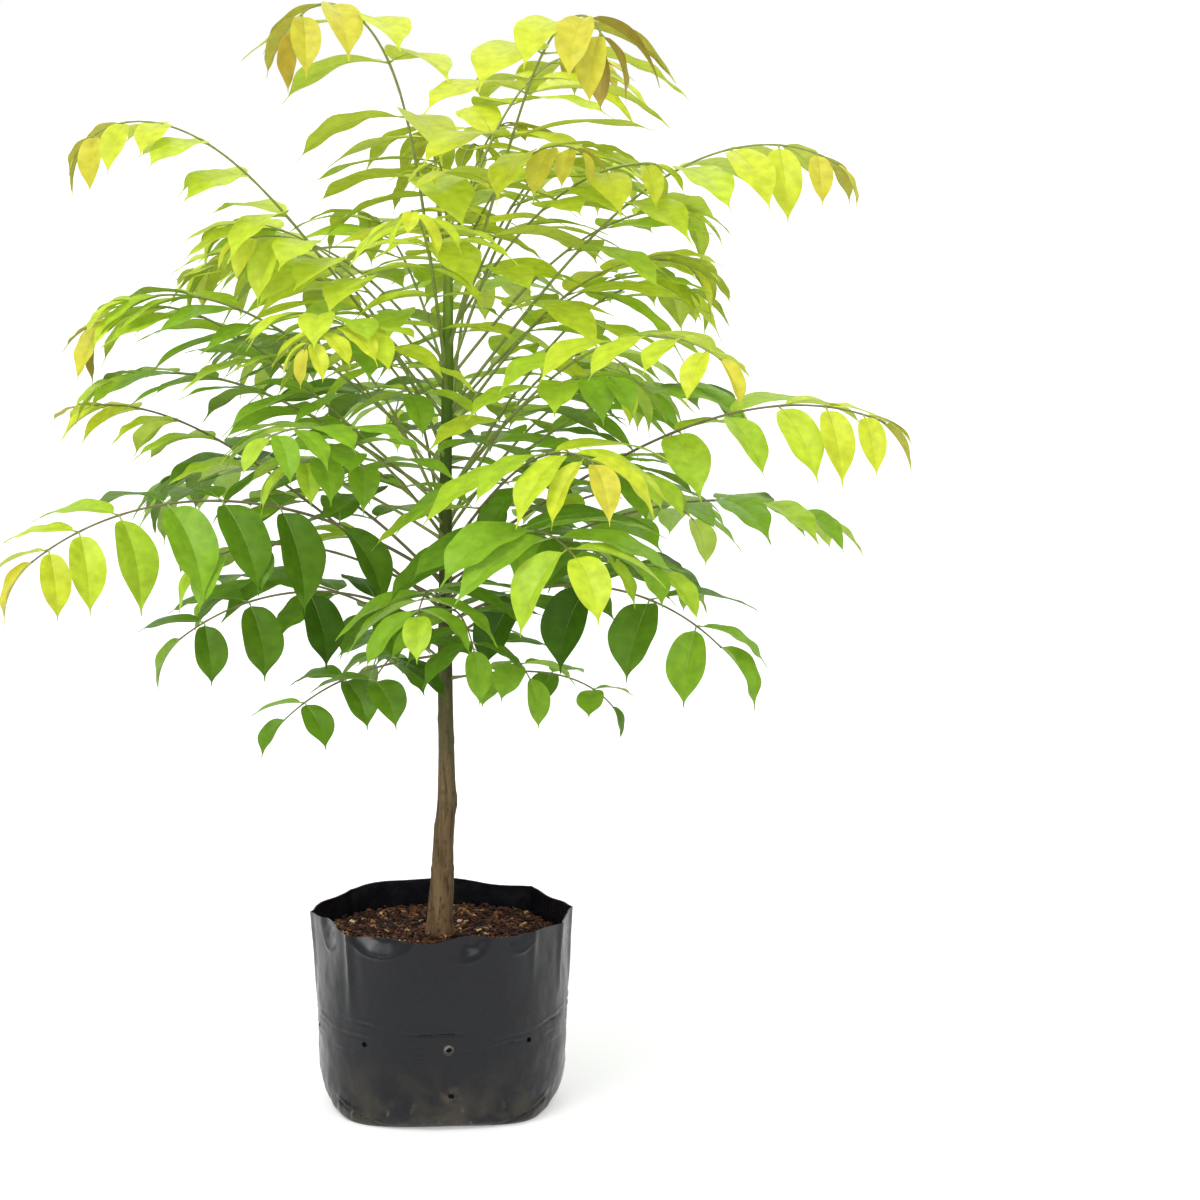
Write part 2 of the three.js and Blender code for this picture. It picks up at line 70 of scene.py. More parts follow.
# Fronds, with the same keys and values as in the part's source, and then two more: the place of the
# foot's leaflets in the list of tints, and how much further along it the outermost ones are
FROND_KEYS = (
    "name", "node", "azimuth", "rise", "droop", "curl", "length", "pairs", "leaflet", "roll", "sweep", "fan",
    "tone", "tone_gain",
)
FRONDS = [
    ("left_low_small", 346, 206, -2, 38, 1.6, 140, 3, 50, -25, -12, 40, 1.4, 0.5),
    ("left_low", 359, 184, 44, 82, 0.9, 214, 4, 70, -45, -26, 50, 0.6, 0.8),
    ("left_long", 404, 190, 34, 72, 1.4, 330, 7, 90, -42, -32, 50, 0.8, 5.8),
    ("left_thin", 381, 168, 38, 46, 3.9, 318, 7, 72, -5, 52, 8, 2.6, 3.4),
    ("left_mid", 458, 176, 42, 96, 5.0, 316, 8, 88, -10, 52, 0, 1.9, 5.0),
    ("left_high", 527, 188, 53, 110, 5.2, 370, 8, 88, -12, 36, -24, 3.8, 3.0),
    ("left_back", 539, 150, 44, 72, 2.4, 250, 7, 100, 0, 50, 8, 3.9, 1.0),
    ("front_left", 497, 236, 58, 92, 2.0, 224, 8, 66, 0, 4, 30, 3.8, 1.6),
    ("top_left", 563, 222, 80, 150, 5.0, 350, 7, 108, 0, 14, 14, 4.4, 2.1),
    ("top_right", 580, 305, 63, 174, 8.0, 340, 8, 118, 0, 18, 14, 4.6, 2.6),
    ("tip_back", 644, 72, 70, 110, 3.0, 130, 4, 66, 0, 11, 38, 4.8, 0.7),
    ("tip_front", 660, 262, 66, 110, 3.0, 95, 3, 50, 0, 11, 38, 4.8, 0.7),
    ("right_low_small", 328, 342, 10, 62, 2.5, 138, 3, 44, 15, -5, 40, 1.3, 0.4),
    ("right_low", 371, 334, 30, 72, 1.3, 238, 4, 84, 40, -22, 60, 0.6, 1.4),
    ("front_low", 390, 292, 33, 56, 2.0, 256, 6, 106, 10, -9, 38, 0.9, 3.1),
    ("right_mid", 395, 2, 27, 50, 2.0, 296, 6, 84, 0, 15, 40, 1.7, 1.6),
    ("front_mid", 424, 297, 37, 52, 2.4, 252, 6, 100, 10, -9, 38, 2.3, 3.8),
    ("right_long", 415, 348, 34, 58, 2.8, 362, 7, 82, 30, 10, 30, 2.6, 3.6),
    ("right_bunch", 469, 314, 44, 72, 2.4, 318, 7, 84, 0, -10, 36, 3.1, 2.4),
    ("right_back_low", 468, 30, 52, 86, 3.1, 292, 7, 88, 0, 42, 10, 3.3, 1.2),
    ("right_back", 515, 16, 52, 80, 2.6, 252, 7, 100, 0, 46, 10, 4.1, 1.0),
    ("right_high", 532, 350, 52, 86, 3.2, 374, 7, 98, 12, 34, -20, 3.8, 2.9),
    ("front_foot", 380, 284, 16, 62, 1.2, 90, 4, 66, 0, -4, 38, 1.3, 0.8),
    ("front_foot_left", 362, 226, 4, 66, 1.3, 96, 3, 70, 0, -4, 38, 0.7, 0.6),
    ("back_high", 556, 60, 54, 80, 2.2, 330, 8, 100, 0, 16, 38, 3.9, 1.2),
    ("back_right_low", 386, 44, 32, 70, 1.8, 300, 6, 86, 0, 11, 38, 1.4, 1.2),
    ("back_right_mid", 444, 56, 44, 80, 2.2, 310, 6, 92, 0, 11, 38, 2.1, 1.4),
    ("back_left_low", 400, 138, 34, 70, 1.8, 305, 6, 88, 0, 11, 38, 1.1, 1.2),
    ("back_left_mid", 450, 120, 46, 85, 2.2, 320, 7, 94, 0, 11, 38, 1.2, 1.4),
    ("back_mid", 426, 98, 40, 75, 2.0, 315, 6, 90, 0, 6, 38, 1.5, 1.4),
    ("back_left_high", 500, 128, 52, 86, 2.4, 300, 6, 96, 0, 11, 38, 3.2, 1.4),
    ("back_right_high", 486, 82, 52, 84, 2.4, 300, 6, 94, 0, 11, 38, 3.2, 1.4),
    ("back_top", 606, 98, 66, 96, 2.8, 215, 6, 100, 0, 6, 38, 4.4, 1.0),
    ("back_left_inner", 434, 155, 28, 60, 2.0, 240, 6, 90, 0, 16, 38, 0.8, 0.8),
    ("back_low_small", 340, 112, 10, 62, 2.0, 160, 4, 52, 0, -9, 38, 0.9, 0.6),
    ("front_high", 545, 262, 56, 48, 2.0, 230, 7, 74, 0, 0, 30, 4.0, 0.8),
    ("front_left_mid", 436, 236, 42, 56, 2.0, 250, 7, 78, 0, 8, 30, 1.8, 1.2),
]

# Smaller fronds between them by the same rule, which the solids leave out. They have the same values
# from the node to the fan, and their tones follow from their height.
INNER_FRONDS = [
    (556, 120, 58, 62, 2.4, 195, 7, 92, 0, 14, 30), (506, 226, 50, 56, 2.4, 200, 6, 88, 0, 10, 30),
    (584, 50, 56, 62, 2.4, 240, 8, 98, 0, 14, 30), (470, 322, 48, 62, 2.4, 195, 6, 88, 0, 10, 30),
    (440, 44, 42, 58, 2.2, 250, 7, 92, 0, 14, 30), (474, 136, 42, 58, 2.4, 245, 7, 92, 0, 14, 30),
    (388, 196, 30, 56, 2.0, 195, 5, 74, 0, 10, 30), (402, 318, 30, 56, 2.0, 165, 5, 74, 0, 0, 30),
    (622, 62, 68, 84, 2.8, 180, 6, 94, 0, 10, 30), (600, 100, 68, 80, 2.8, 165, 6, 90, 0, 10, 30),
    (548, 160, 52, 62, 2.4, 225, 7, 96, 0, 50, 8), (556, 14, 50, 62, 2.4, 240, 7, 98, 0, 48, 8),
    (352, 166, 30, 56, 2.0, 190, 5, 68, 0, 30, 20), (356, 22, 30, 56, 2.0, 205, 5, 72, 0, 30, 20),
    (366, 312, 8, 60, 1.4, 100, 3, 58, 0, 0, 30), (590, 340, 56, 62, 2.4, 215, 7, 94, 0, 30, 10),
    (492, 178, 42, 70, 3.2, 285, 7, 86, 0, 50, 8), (384, 262, 22, 50, 2.0, 150, 5, 80, 0, 0, 30),
    (430, 330, 38, 60, 2.2, 190, 6, 88, 0, 10, 30), (446, 216, 40, 58, 2.2, 150, 6, 84, 0, 10, 30),
    (528, 20, 46, 60, 2.4, 215, 7, 96, 0, 40, 8), (568, 196, 50, 64, 2.4, 190, 6, 92, 0, 30, 8),
    (464, 172, 34, 60, 2.6, 285, 7, 80, 0, 50, 8), (452, 8, 40, 66, 2.6, 240, 7, 86, 0, 44, 8),
    (396, 330, 26, 56, 2.0, 190, 5, 78, 0, 10, 30), (652, 40, 64, 84, 2.8, 225, 7, 98, 0, 14, 14),
    (630, 318, 58, 84, 2.8, 175, 6, 88, 0, 14, 14),
]

# Stalk and leaflet rule, as in the part's source
STALK_SIDES = 3
CURVE_STEPS = 60
STALK_RADIUS = 1.9
STALK_TIP_RADIUS = 0.9
FULL_STALK = 270
SHORT_STALK_SHARE = 0.55
FOOT_RADIUS = 2.9
FOOT_LENGTH = 9
FOOT_INSET = 0.5
BARE_SHARE = 0.27
BARE_MIDDLE = 0.16
SPACING_POWER = 1.4
# Stations of a coarse leaflet: share of its length, half width and depth
LEAF_STATIONS = [(0.22, 0.42, 0.038), (0.6, 0.45, 0.026)]
BLADE_START = (0.1, 0.2, 0.018)
LEAF_STEPS = 8
LEAF_WIDTH = 0.38
OLD_LEAF_WIDTH = 0.52
FIRST_SIZE = 0.88
OLD_LAST_SIZE = 0.68
LAST_SIZE = 0.34
SWEEP_LIFT = 0.35
RAISED_SHARE = 0.4
LEAF_LIFT = 10
LEAF_SAG = 50
SAG_POWER = 1.2
LIMP_FROM = 0.4
TIP_LIMP = 50
OLD_LIMP_SHARE = 0.35
TERMINAL_LIMP_SHARE = 0.4
TERMINAL_INSET = 4
LEVELLING = 0.94
YOUNG_FROM = 350
YOUNG_TO = 620
NARROWING = 4
# How much leaflets vary, and the turn, lift and size of each try to find room for one
JITTER = {"heading": 9, "rise": 8, "bank": 10, "size": 0.08, "sag": 0.25}
TRIES = [
    (0, 0, 1), (0, -14, 1), (12, 6, 0.95), (-12, 6, 0.95), (0, 20, 0.9), (20, -20, 0.8), (-20, -20, 0.8),
]
LOWEST = math.radians(-86)
CHANCE_STEPS = (12.9898, 78.233, 37.719)
CHANCE_SCALE = 43758.5453

# Fine leaflet: rows along it, points across half of it, and its own shape. The outline is a
# rounded arch that is widest at two fifths of the length and drawn out into a drip tip.
LEAF_ROWS = 22
LEAF_COLUMNS = 4
PETIOLULE = 0.06
ARCH_END = 0.95
ARCH_SKEW = 0.72
ARCH_ROUND = 0.55
ARCH_TAPER = 1.1
ARCH_TURN = 0.35
DRIP = 0.4
OLD_DRIP = 0.3
DRIP_POWER = 4
TAIL = 0.16
LEAF_THICK = 0.45
FLAT_FOLD = 11
HANGING_FOLD = 32
FOLD_AT_TIP = 0.5
RECURVE = 0.12
SLANT = 0.42
VEIN_RELIEF = 0.34
VEIN_BOW = 5
VEIN_FULL_WIDTH = 8
MARGIN_WAVE = 0.06
WAVE_COUNT = 2.2
WAVE_PHASES = (3, 2.1)
HANGING_GAIN = 1.2
FOLD_JITTER = 0.3
TWIST = 9
TWIST_POWER = 1.5
SICKLE = 9
SICKLE_JITTER = 0.4
ROW_EASE = 0.45
CREASE_ANGLE = 24
MIDRIB_SIDES = 5
MIDRIB_ROWS = 14
MIDRIB_END = 0.985
MIDRIB_RADIUS = 0.62
MIDRIB_TIP_RADIUS = 0.14
MIDRIB_TAPER = 0.7
MIDRIB_FOOT = 1.5
MIDRIB_SHORT_SHARE = 0.6
MIDRIB_FULL_LEAF = 80

# Fine stalk
FINE_STALK_SIDES = 8
FINE_STALK_STEP = 5
FINE_STALK_SHARE = 0.74
NODE_SWELL = 0.22
NODE_LENGTH = 3.5

# Tints of the leaves from the oldest to the youngest: name, face, underside and slot. The undersides are
# paler, as the real ones are, and also brighter and yellower: painted light shining through the leaves
TINTS = [
    ("deep", "36570c", "4e6c2e", "leaf_deep"),
    ("dark", "507416", "688636", "leaf_deep"),
    ("green", "709622", "86a344", "leaf_green"),
    ("mid", "91ae2a", "a6be4c", "leaf_green"),
    ("lime", "a5b82c", "b9ca50", "leaf_lime"),
    ("bright", "afba2e", "c0cb54", "leaf_lime"),
    ("yellow", "b2ae36", "b6b24e", "leaf_yellow"),
    ("bronze", "988826", "a09040", "leaf_yellow"),
]

# Tones of the smaller fronds from the lowest to the highest, how tones go up the trunk and along a
# frond, and how much they vary
INNER_TONES = (0.9, 4.7)
INNER_TONE_POWER = 1.6
INNER_GAIN = 1.4
TONE_POWER = 2.0
TONE_JITTER = 0.45

# Fronds from this height up have the young stalks, and leaves from this tint on the young midribs
HIGH_STALK = 430
HIGH_TINT = 3

# Roughness of the leaves, and how far their colours mottle
FACE_ROUGHNESS = 0.42
UNDER_ROUGHNESS = 0.6
FACE_MOTTLE = 0.16
UNDER_MOTTLE = 0.12

rad = math.radians


def clamp01(x):
    return min(1.0, max(0.0, x))


def mix(a, b, share):
    return a + (b - a) * share


def smoothstep(x, low, high):
    t = np.clip((x - low) / (high - low), 0, 1)
    return t * t * (3 - 2 * t)


def hump(distance, width):
    """1 in the middle, sinking smoothly to almost 0 at twice the width"""
    return np.exp(-((distance / width) ** 2))


def chance(a, b, c):
    """A repeatable number from -1 to 1 for three whole numbers"""
    wave = math.sin(a * CHANCE_STEPS[0] + b * CHANCE_STEPS[1] + c * CHANCE_STEPS[2]) * CHANCE_SCALE
    return 2 * (wave - math.floor(wave)) - 1


def even_turns(count):
    return 2 * np.pi * np.arange(count) / count


def aim(heading, rise):
    flat = math.cos(rise)
    return np.array([flat * math.cos(heading), flat * math.sin(heading), math.sin(rise)])


def left_of(heading):
    return np.array([-math.sin(heading), math.cos(heading), 0])


def unit(v):
    return v / np.linalg.norm(v)


# Coarse shapes of the part's source, for the same tests of room
def loft(rings):
    points = [p for ring in rings for p in ring]
    faces = []
    start = 0
    for ring, following in zip(rings, rings[1:]):
        here, there = len(ring), len(following)
        after = start + here
        for k in range(max(here, there)):
            k2 = (k + 1) % max(here, there)
            if here > 1:
                faces.append((start + k, start + k2, after + k2 if there > 1 else after))
            if there > 1:
                faces.append((start + k if here > 1 else start, after + k2, after + k))
        start = after
    faces += [(0, k + 1, k) for k in range(1, len(rings[0]) - 1)]
    faces += [(start, start + k, start + k + 1) for k in range(1, len(rings[-1]) - 1)]
    return np.array(points), faces


class Shape:
    """A coarse closed shape with its box"""

    def __init__(self, rings):
        points, faces = loft(rings)
        self.low = points.min(axis=0)
        self.high = points.max(axis=0)
        self.tree = BVHTree.FromPolygons(points.tolist(), faces)

    def meets(self, other):
        if (self.low > other.high).any() or (other.low > self.high).any():
            return False
        return bool(self.tree.overlap(other.tree))


def trunk_at(height):
    upper = max(1, next(k for k, row in enumerate(TRUNK) if row[0] >= height))
    (z0, x0, r0), (z1, x1, r1) = TRUNK[upper - 1], TRUNK[upper]
    share = (height - z0) / (z1 - z0)
    return np.array([mix(x0, x1, share), 0, height]), mix(r0, r1, share)


def trunk_room():
    rings = []
    turns = even_turns(TRUNK_SIDES)
    for z, x, r in TRUNK:
        reach = r + TRUNK_ROOM
        rings.append([np.array([x + reach * math.cos(a), reach * math.sin(a), z]) for a in turns])
    return Shape(rings)


def youth(frond):
    """From 0 on the oldest fronds to 1 on the youngest"""
    return clamp01((frond["node"] - YOUNG_FROM) / (YOUNG_TO - YOUNG_FROM))


def seat_share(pair, pairs):
    return BARE_SHARE + (1 - BARE_SHARE) * (1 - (1 - pair / pairs) ** SPACING_POWER)


def stalk_stations(frond, shares):
    """The stalk's point, direction, left and upper sides and radius at each share of its length"""
    heading = rad(frond["azimuth"])
    left = left_of(heading)
    length = frond["length"]

    def direction(share):
        return aim(heading, rad(frond["rise"] - frond["droop"] * share ** frond["curl"]))

    centre, radius = trunk_at(frond["node"])
    point = centre + aim(heading, 0) * radius * FOOT_INSET
    slender = mix(SHORT_STALK_SHARE, 1, clamp01(length / FULL_STALK))
    turn = rad(frond["roll"])
    stations = []
    reached = 0
    for share in shares:
        step = (share - reached) / CURVE_STEPS
        for i in range(CURVE_STEPS):
            point = point + direction(reached + (i + 0.5) * step) * step * length
        reached = share
        along = direction(share)
        side = left * math.cos(turn) + np.cross(along, left) * math.sin(turn)
        thin = mix(STALK_RADIUS, STALK_TIP_RADIUS, share) * slender
        thick = mix(FOOT_RADIUS, thin, clamp01(share * length / FOOT_LENGTH))
        stations.append((point, along, side, np.cross(along, side), thick))
    return stations


def coarse_shares(frond):
    seats = [seat_share(pair, frond["pairs"]) for pair in range(frond["pairs"] + 1)]
    return [0, FOOT_LENGTH / frond["length"], BARE_MIDDLE, *seats]


def coarse_stalk(stations):
    rings = []
    turns = math.pi / 2 + even_turns(STALK_SIDES)
    for point, _, side, upper, radius in stations:
        rings.append([point + (side * math.cos(a) + upper * math.sin(a)) * radius for a in turns])
    return Shape(rings)


def leaflet_pose(frond, index, pair, side):
    """How one leaflet is carried: where it starts, its heading, rise, sag, bank and size"""
    terminal = pair == frond["pairs"]
    share = pair / frond["pairs"]
    point, seat_along, seat_side, seat_upper, _ = frond["stations"][pair - frond["pairs"] - 1]
    late = float(smoothstep(share, LIMP_FROM, 1))
    young = youth(frond)

    def turn(kind):
        return chance(index + 1, pair * 2 + (1 if side > 0 else 0), kind)

    raised = max(0, side * frond["roll"])
    forward = 90 if terminal else frond["sweep"] + frond["fan"] * share + raised
    ahead = seat_along
    if not terminal:
        ahead = aim(rad(frond["azimuth"]), 0) + [0, 0, seat_along[2] * SWEEP_LIFT]
    out = unit(seat_side * side * math.cos(rad(forward)) + ahead * math.sin(rad(forward)))
    heading = math.atan2(out[1], out[0]) + rad(JITTER["heading"]) * turn(1)
    limp = TIP_LIMP * late * mix(OLD_LIMP_SHARE, 1, young) * (TERMINAL_LIMP_SHARE if terminal else 1)
    tilt = math.asin(out[2]) * (RAISED_SHARE if out[2] > 0 else 1)
    rise = tilt + rad(LEAF_LIFT - limp + JITTER["rise"] * turn(2))

    face = unit(mix(seat_upper, np.array([0, 0, 1.0]), LEVELLING))
    level = left_of(heading)
    along = aim(heading, rise)
    edge = np.cross(face, along)
    flat = math.atan2(edge @ np.cross(along, level), edge @ level)
    size = (FIRST_SIZE if pair == 0 else 1) * mix(1, mix(OLD_LAST_SIZE, LAST_SIZE, young), late)
    return {
        "start": point - seat_along * (TERMINAL_INSET if terminal else 0),
        "heading": heading,
        "rise": rise,
        "bank": flat + rad(JITTER["bank"]) * turn(3),
        "length": frond["leaflet"] * size * (1 + JITTER["size"] * turn(4)),
        "width": mix(OLD_LEAF_WIDTH, LEAF_WIDTH, clamp01(young * NARROWING)),
        "sag": rad(LEAF_SAG) * (1 + JITTER["sag"] * turn(5)),
        "turn": turn,
        "side": side,
        "young": young,
        "share": share,
    }


def slope_at(pose, share):
    return max(LOWEST, pose["rise"] - pose["sag"] * share ** SAG_POWER)


def blade_sides(pose, share, bank, heading):
    along = aim(heading, slope_at(pose, share))
    level = left_of(heading)
    across = level * math.cos(bank) + np.cross(along, level) * math.sin(bank)
    return along, across


def coarse_leaflet(pose, blade_only):
    rings = [] if blade_only else [[pose["start"]]]
    stations = [BLADE_START, *LEAF_STATIONS] if blade_only else LEAF_STATIONS
    point = pose["start"]
    reached = 0
    for share, half, depth in [*stations, (1, 0, 0)]:
        step = (share - reached) / LEAF_STEPS
        for i in range(LEAF_STEPS):
            slope = slope_at(pose, reached + (i + 0.5) * step)
            point = point + aim(pose["heading"], slope) * step * pose["length"]
        reached = share
        along, across = blade_sides(pose, share, pose["bank"], pose["heading"])
        below = np.cross(across, along)
        edge = half * pose["width"] * pose["length"]
        if share == 1:
            rings.append([point])
        else:
            low = point + below * depth * pose["length"]
            rings.append([point + across * edge, point - across * edge, low])
    return Shape(rings)


def place_leaflet(pose, others, own_blades):
    for turn, lift, size in TRIES:
        tried = dict(
            pose,
            heading=pose["heading"] + rad(turn),
            rise=pose["rise"] + rad(lift),
            length=pose["length"] * size,
        )
        whole = coarse_leaflet(tried, False)
        if any(whole.meets(other) for other in others):
            continue
        blade = coarse_leaflet(tried, True)
        if not any(blade.meets(other) for other in own_blades):
            return tried, whole, blade
    return None


def grow_fronds():
    """All fronds with the poses of the leaflets that had room, in the source's order"""
    room = trunk_room()
    fronds = [dict(zip(FROND_KEYS, row)) for row in FRONDS]
    fronds += [dict(zip(FROND_KEYS[1:], row)) for row in INNER_FRONDS]
    for frond in fronds:
        frond["stations"] = stalk_stations(frond, coarse_shares(frond))
        frond["stalk"] = coarse_stalk(frond["stations"])
    grown = []
    coarse = fronds[:len(FRONDS)]
    for index, frond in enumerate(fronds):
        rivals = coarse if index < len(FRONDS) else fronds
        others = [room, *[f["stalk"] for f in rivals if f is not frond], *grown]
        frond["leaflets"] = []
        blades = []
        wholes = []
        for pair in range(frond["pairs"] + 1):
            for side in [1, -1] if pair < frond["pairs"] else [1]:
                placed = place_leaflet(leaflet_pose(frond, index, pair, side), others, blades)
                if placed:
                    pose, whole, blade = placed
                    frond["leaflets"].append(pose)
                    wholes.append(whole)
                    blades.append(blade)
        grown += wholes
    return fronds


# Gathering many small closed skins into one piece
class Heap:
    """Points and faces of one joined piece. Each face has the number of its material."""

    def __init__(self):
        self.points = []
        self.faces = []
        self.marks = []
        self.count = 0
        self.nodes = set()

    def add(self, points, faces, marks=None):
        self.points.append(points)
        self.faces += [tuple(k + self.count for k in face) for face in faces]
        self.marks += marks or [0] * len(faces)
        self.count += len(points)


def side_faces(rings, sides, first=0):
    """Faces between rings of as many points each, which turn left as seen from the far end"""
    faces = []
    for a in range(first, first + (rings - 1) * sides, sides):
        for k in range(sides):
            k2 = (k + 1) % sides
            faces.append((a + k, a + k2, a + sides + k2, a + sides + k))
    return faces


def tube_faces(rings, sides, tip=False):
    """Faces of a closed tube of rings with a flat end or a tip"""
    faces = side_faces(rings, sides)
    faces.append(tuple(reversed(range(sides))))
    last = (rings - 1) * sides
    if tip:
        return faces + [(last + k, last + (k + 1) % sides, last + sides) for k in range(sides)]
    return faces + [tuple(range(last, last + sides))]


def tube_points(points, sides_a, sides_b, radii, sides):
    turns = even_turns(sides)
    ring = np.cos(turns)[None, :, None] * sides_a[:, None, :]
    ring = ring + np.sin(turns)[None, :, None] * sides_b[:, None, :]
    return (points[:, None, :] + ring * radii[:, None, None]).reshape(-1, 3)


def single(points, faces):
    heap = Heap()
    heap.add(points, faces)
    return heap


def add_object(name, data):
    item = bpy.data.objects.new(name, data)
    bpy.context.scene.collection.objects.link(item)
    return item


def mesh_of(name, heap):
    mesh = bpy.data.meshes.new(name)
    mesh.from_pydata((np.vstack(heap.points) * MM).tolist(), [], heap.faces)
    return mesh


def make_piece(name, heap, materials, nodes, crease=None):
    mesh = mesh_of(name, heap)
    for m in materials:
        mesh.materials.append(m)
    mesh.polygons.foreach_set("material_index", np.array(heap.marks, dtype=np.int32))
    mesh.polygons.foreach_set("use_smooth", np.ones(len(heap.faces), dtype=bool))
    if crease:
        mesh.set_sharp_from_angle(angle=rad(crease))
    mesh.validate()
    mesh.update()
    piece = add_object(name, mesh)
    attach(piece, "root")
    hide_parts(*nodes)
    return piece


# Fine leaflets and stalks
def leaf_path(pose, rows):
    """The midrib's points, directions and sides at each row's share of the length"""
    middles = (np.arange(CURVE_STEPS) + 0.5) / CURVE_STEPS
    sickle = rad(SICKLE) * pose["side"] * (1 - SICKLE_JITTER + SICKLE_JITTER * pose["turn"](7))
    slopes = np.maximum(LOWEST, pose["rise"] - pose["sag"] * middles ** SAG_POWER)
    headings = pose["heading"] - sickle * middles ** 2
    flat = np.cos(slopes)
    steps = np.stack([flat * np.cos(headings), flat * np.sin(headings), np.sin(slopes)], axis=1)
    walk = np.vstack([[0, 0, 0], np.cumsum(steps, axis=0)]) * pose["length"] / CURVE_STEPS
    ends = np.arange(CURVE_STEPS + 1) / CURVE_STEPS
    points = np.stack([np.interp(rows, ends, walk[:, axis]) for axis in range(3)], axis=1)
    twist = rad(TWIST) * pose["turn"](8)
    along = np.empty_like(points)
    across = np.empty_like(points)
    for k, share in enumerate(rows):
        bank = pose["bank"] + twist * share ** TWIST_POWER
        along[k], across[k] = blade_sides(pose, share, bank, pose["heading"] - sickle * share ** 2)
    return points + pose["start"], along, across, np.cross(along, across)


def blade_topology(rows, columns):
    """Faces and marks of a blade: a root point, rings of a face and an underside, and a tip.
    Both skins are split along the same diagonals, so that neither shows through the other."""
    ring = 4 * columns
    skins = [0] * (2 * columns) + [1] * (2 * columns)
    faces = []
    marks = []
    for a in range(1, 1 + (rows - 1) * ring, ring):
        b = a + ring
        for k, skin in enumerate(skins):
            k2 = (k + 1) % ring
            if skin:
                faces += [(a + k, b + k, a + k2), (b + k, b + k2, a + k2)]
            else:
                faces += [(a + k, b + k, b + k2), (a + k, b + k2, a + k2)]
            marks += [skin, skin]
    tip = 1 + rows * ring
    last = tip - ring
    for k, skin in enumerate(skins):
        k2 = (k + 1) % ring
        faces += [(0, 1 + k, 1 + k2), (last + k, tip, last + k2)]
        marks += [skin, skin]
    return faces, marks


def outline(way, drip):
    """Half the width at each share of the way along, as a share of the widest"""
    within = np.minimum(1, way / ARCH_END)
    power = mix(ARCH_ROUND, ARCH_TAPER, smoothstep(within, ARCH_TURN, 1))
    arch = np.abs(np.sin(np.pi * within ** ARCH_SKEW)) ** power * (1 - drip * within ** DRIP_POWER)
    return np.maximum(arch, TAIL * np.sqrt(1 - way))


BLADE_FACES, BLADE_MARKS = blade_topology(LEAF_ROWS, LEAF_COLUMNS)
MIDRIB_FACES = tube_faces(MIDRIB_ROWS, MIDRIB_SIDES)


def fine_blade(pose):
    """A thin closed blade, folded along its midrib, with wavy margins and relief along its veins"""
    turn = pose["turn"]
    even = (np.arange(LEAF_ROWS) + 1) / (LEAF_ROWS + 1)
    way = mix(even, (1 - np.cos(np.pi * even)) / 2, ROW_EASE)
    ends = np.concatenate([[0], way, [1]])
    shares = mix(PETIOLULE, 1, ends)
    points, along, across, normal = leaf_path(pose, shares)

    half = pose["width"] * pose["length"] / 2
    widths = half * outline(way, mix(OLD_DRIP, DRIP, clamp01(pose["young"] * NARROWING)))
    hanging = clamp01(-math.sin(slope_at(pose, 0.5)) * HANGING_GAIN)
    root_fold = mix(FLAT_FOLD, HANGING_FOLD, hanging) * (1 + FOLD_JITTER * turn(9))
    fold = np.tan(np.radians(root_fold * mix(1, FOLD_AT_TIP, way)))
    veins = np.where(np.arange(LEAF_ROWS) % 2, 1, -1) * np.minimum(1, widths / VEIN_FULL_WIDTH)

    def surface(u, face):
        """The skin at u, from -1 at the right margin to 1 at the left, on its face or underside"""
        reach = abs(u)
        phase = WAVE_PHASES[0] * turn(10) + (0 if u > 0 else WAVE_PHASES[1])
        wave = MARGIN_WAVE * half * reach ** 2 * np.sin(way * 2 * np.pi * (WAVE_COUNT + turn(11)) + phase)
        height = widths * (reach * fold - RECURVE * reach ** 2) + wave * np.sqrt(way * (1 - way)) * 2
        height = height + VEIN_RELIEF * veins * VEIN_BOW * reach * (1 - reach) ** 2
        height = height + face * LEAF_THICK / 2 * (1 - reach ** 2)
        ahead = SLANT * reach * widths
        return (
            points[1:-1]
            + along[1:-1] * ahead[:, None]
            + across[1:-1] * (u * widths)[:, None]
            + normal[1:-1] * height[:, None]
        )

    right_to_left = np.linspace(-1, 1, 2 * LEAF_COLUMNS + 1)
    ring = [surface(u, 1) for u in right_to_left]
    ring += [surface(u, -1) for u in right_to_left[-2:0:-1]]
    skin = np.stack(ring, axis=1).reshape(-1, 3)
    return np.vstack([points[:1], skin, points[-1:]])


def fine_midrib(pose):
    shares = np.linspace(0, MIDRIB_END, MIDRIB_ROWS)
    points, _, across, normal = leaf_path(pose, shares)
    size = mix(MIDRIB_SHORT_SHARE, 1, clamp01(pose["length"] / MIDRIB_FULL_LEAF))
    radii = mix(MIDRIB_RADIUS, MIDRIB_TIP_RADIUS, shares ** MIDRIB_TAPER) * size
    radii[0] *= MIDRIB_FOOT
    return tube_points(points, across, normal, radii, MIDRIB_SIDES)


def fine_stalk(frond):
    rows = int(frond["length"] / FINE_STALK_STEP) + 2
    shares = np.linspace(0, 1, rows)
    points, _, side, upper, thick = [np.array(column) for column in zip(*stalk_stations(frond, shares))]
    seats = np.array([seat_share(pair, frond["pairs"]) for pair in range(frond["pairs"] + 1)])
    nearest = np.abs(shares[:, None] - seats[None, :]).min(axis=1) * frond["length"]
    swell = 1 + NODE_SWELL * hump(nearest, NODE_LENGTH)
    radii = thick * FINE_STALK_SHARE * swell
    return tube_points(points, side, upper, radii, FINE_STALK_SIDES), tube_faces(rows, FINE_STALK_SIDES)


# Materials
def linear(code):
    """The linear colour of a six-digit code, with an alpha of 1"""
    parts = [int(code[k:k + 2], 16) / 255 for k in (0, 2, 4)]
    return [p / 12.92 if p <= 0.04045 else ((p + 0.055) / 1.055) ** 2.4 for p in parts] + [1]


def shaded(color, factor):
    return [min(1, c * factor) for c in color[:3]] + [1]


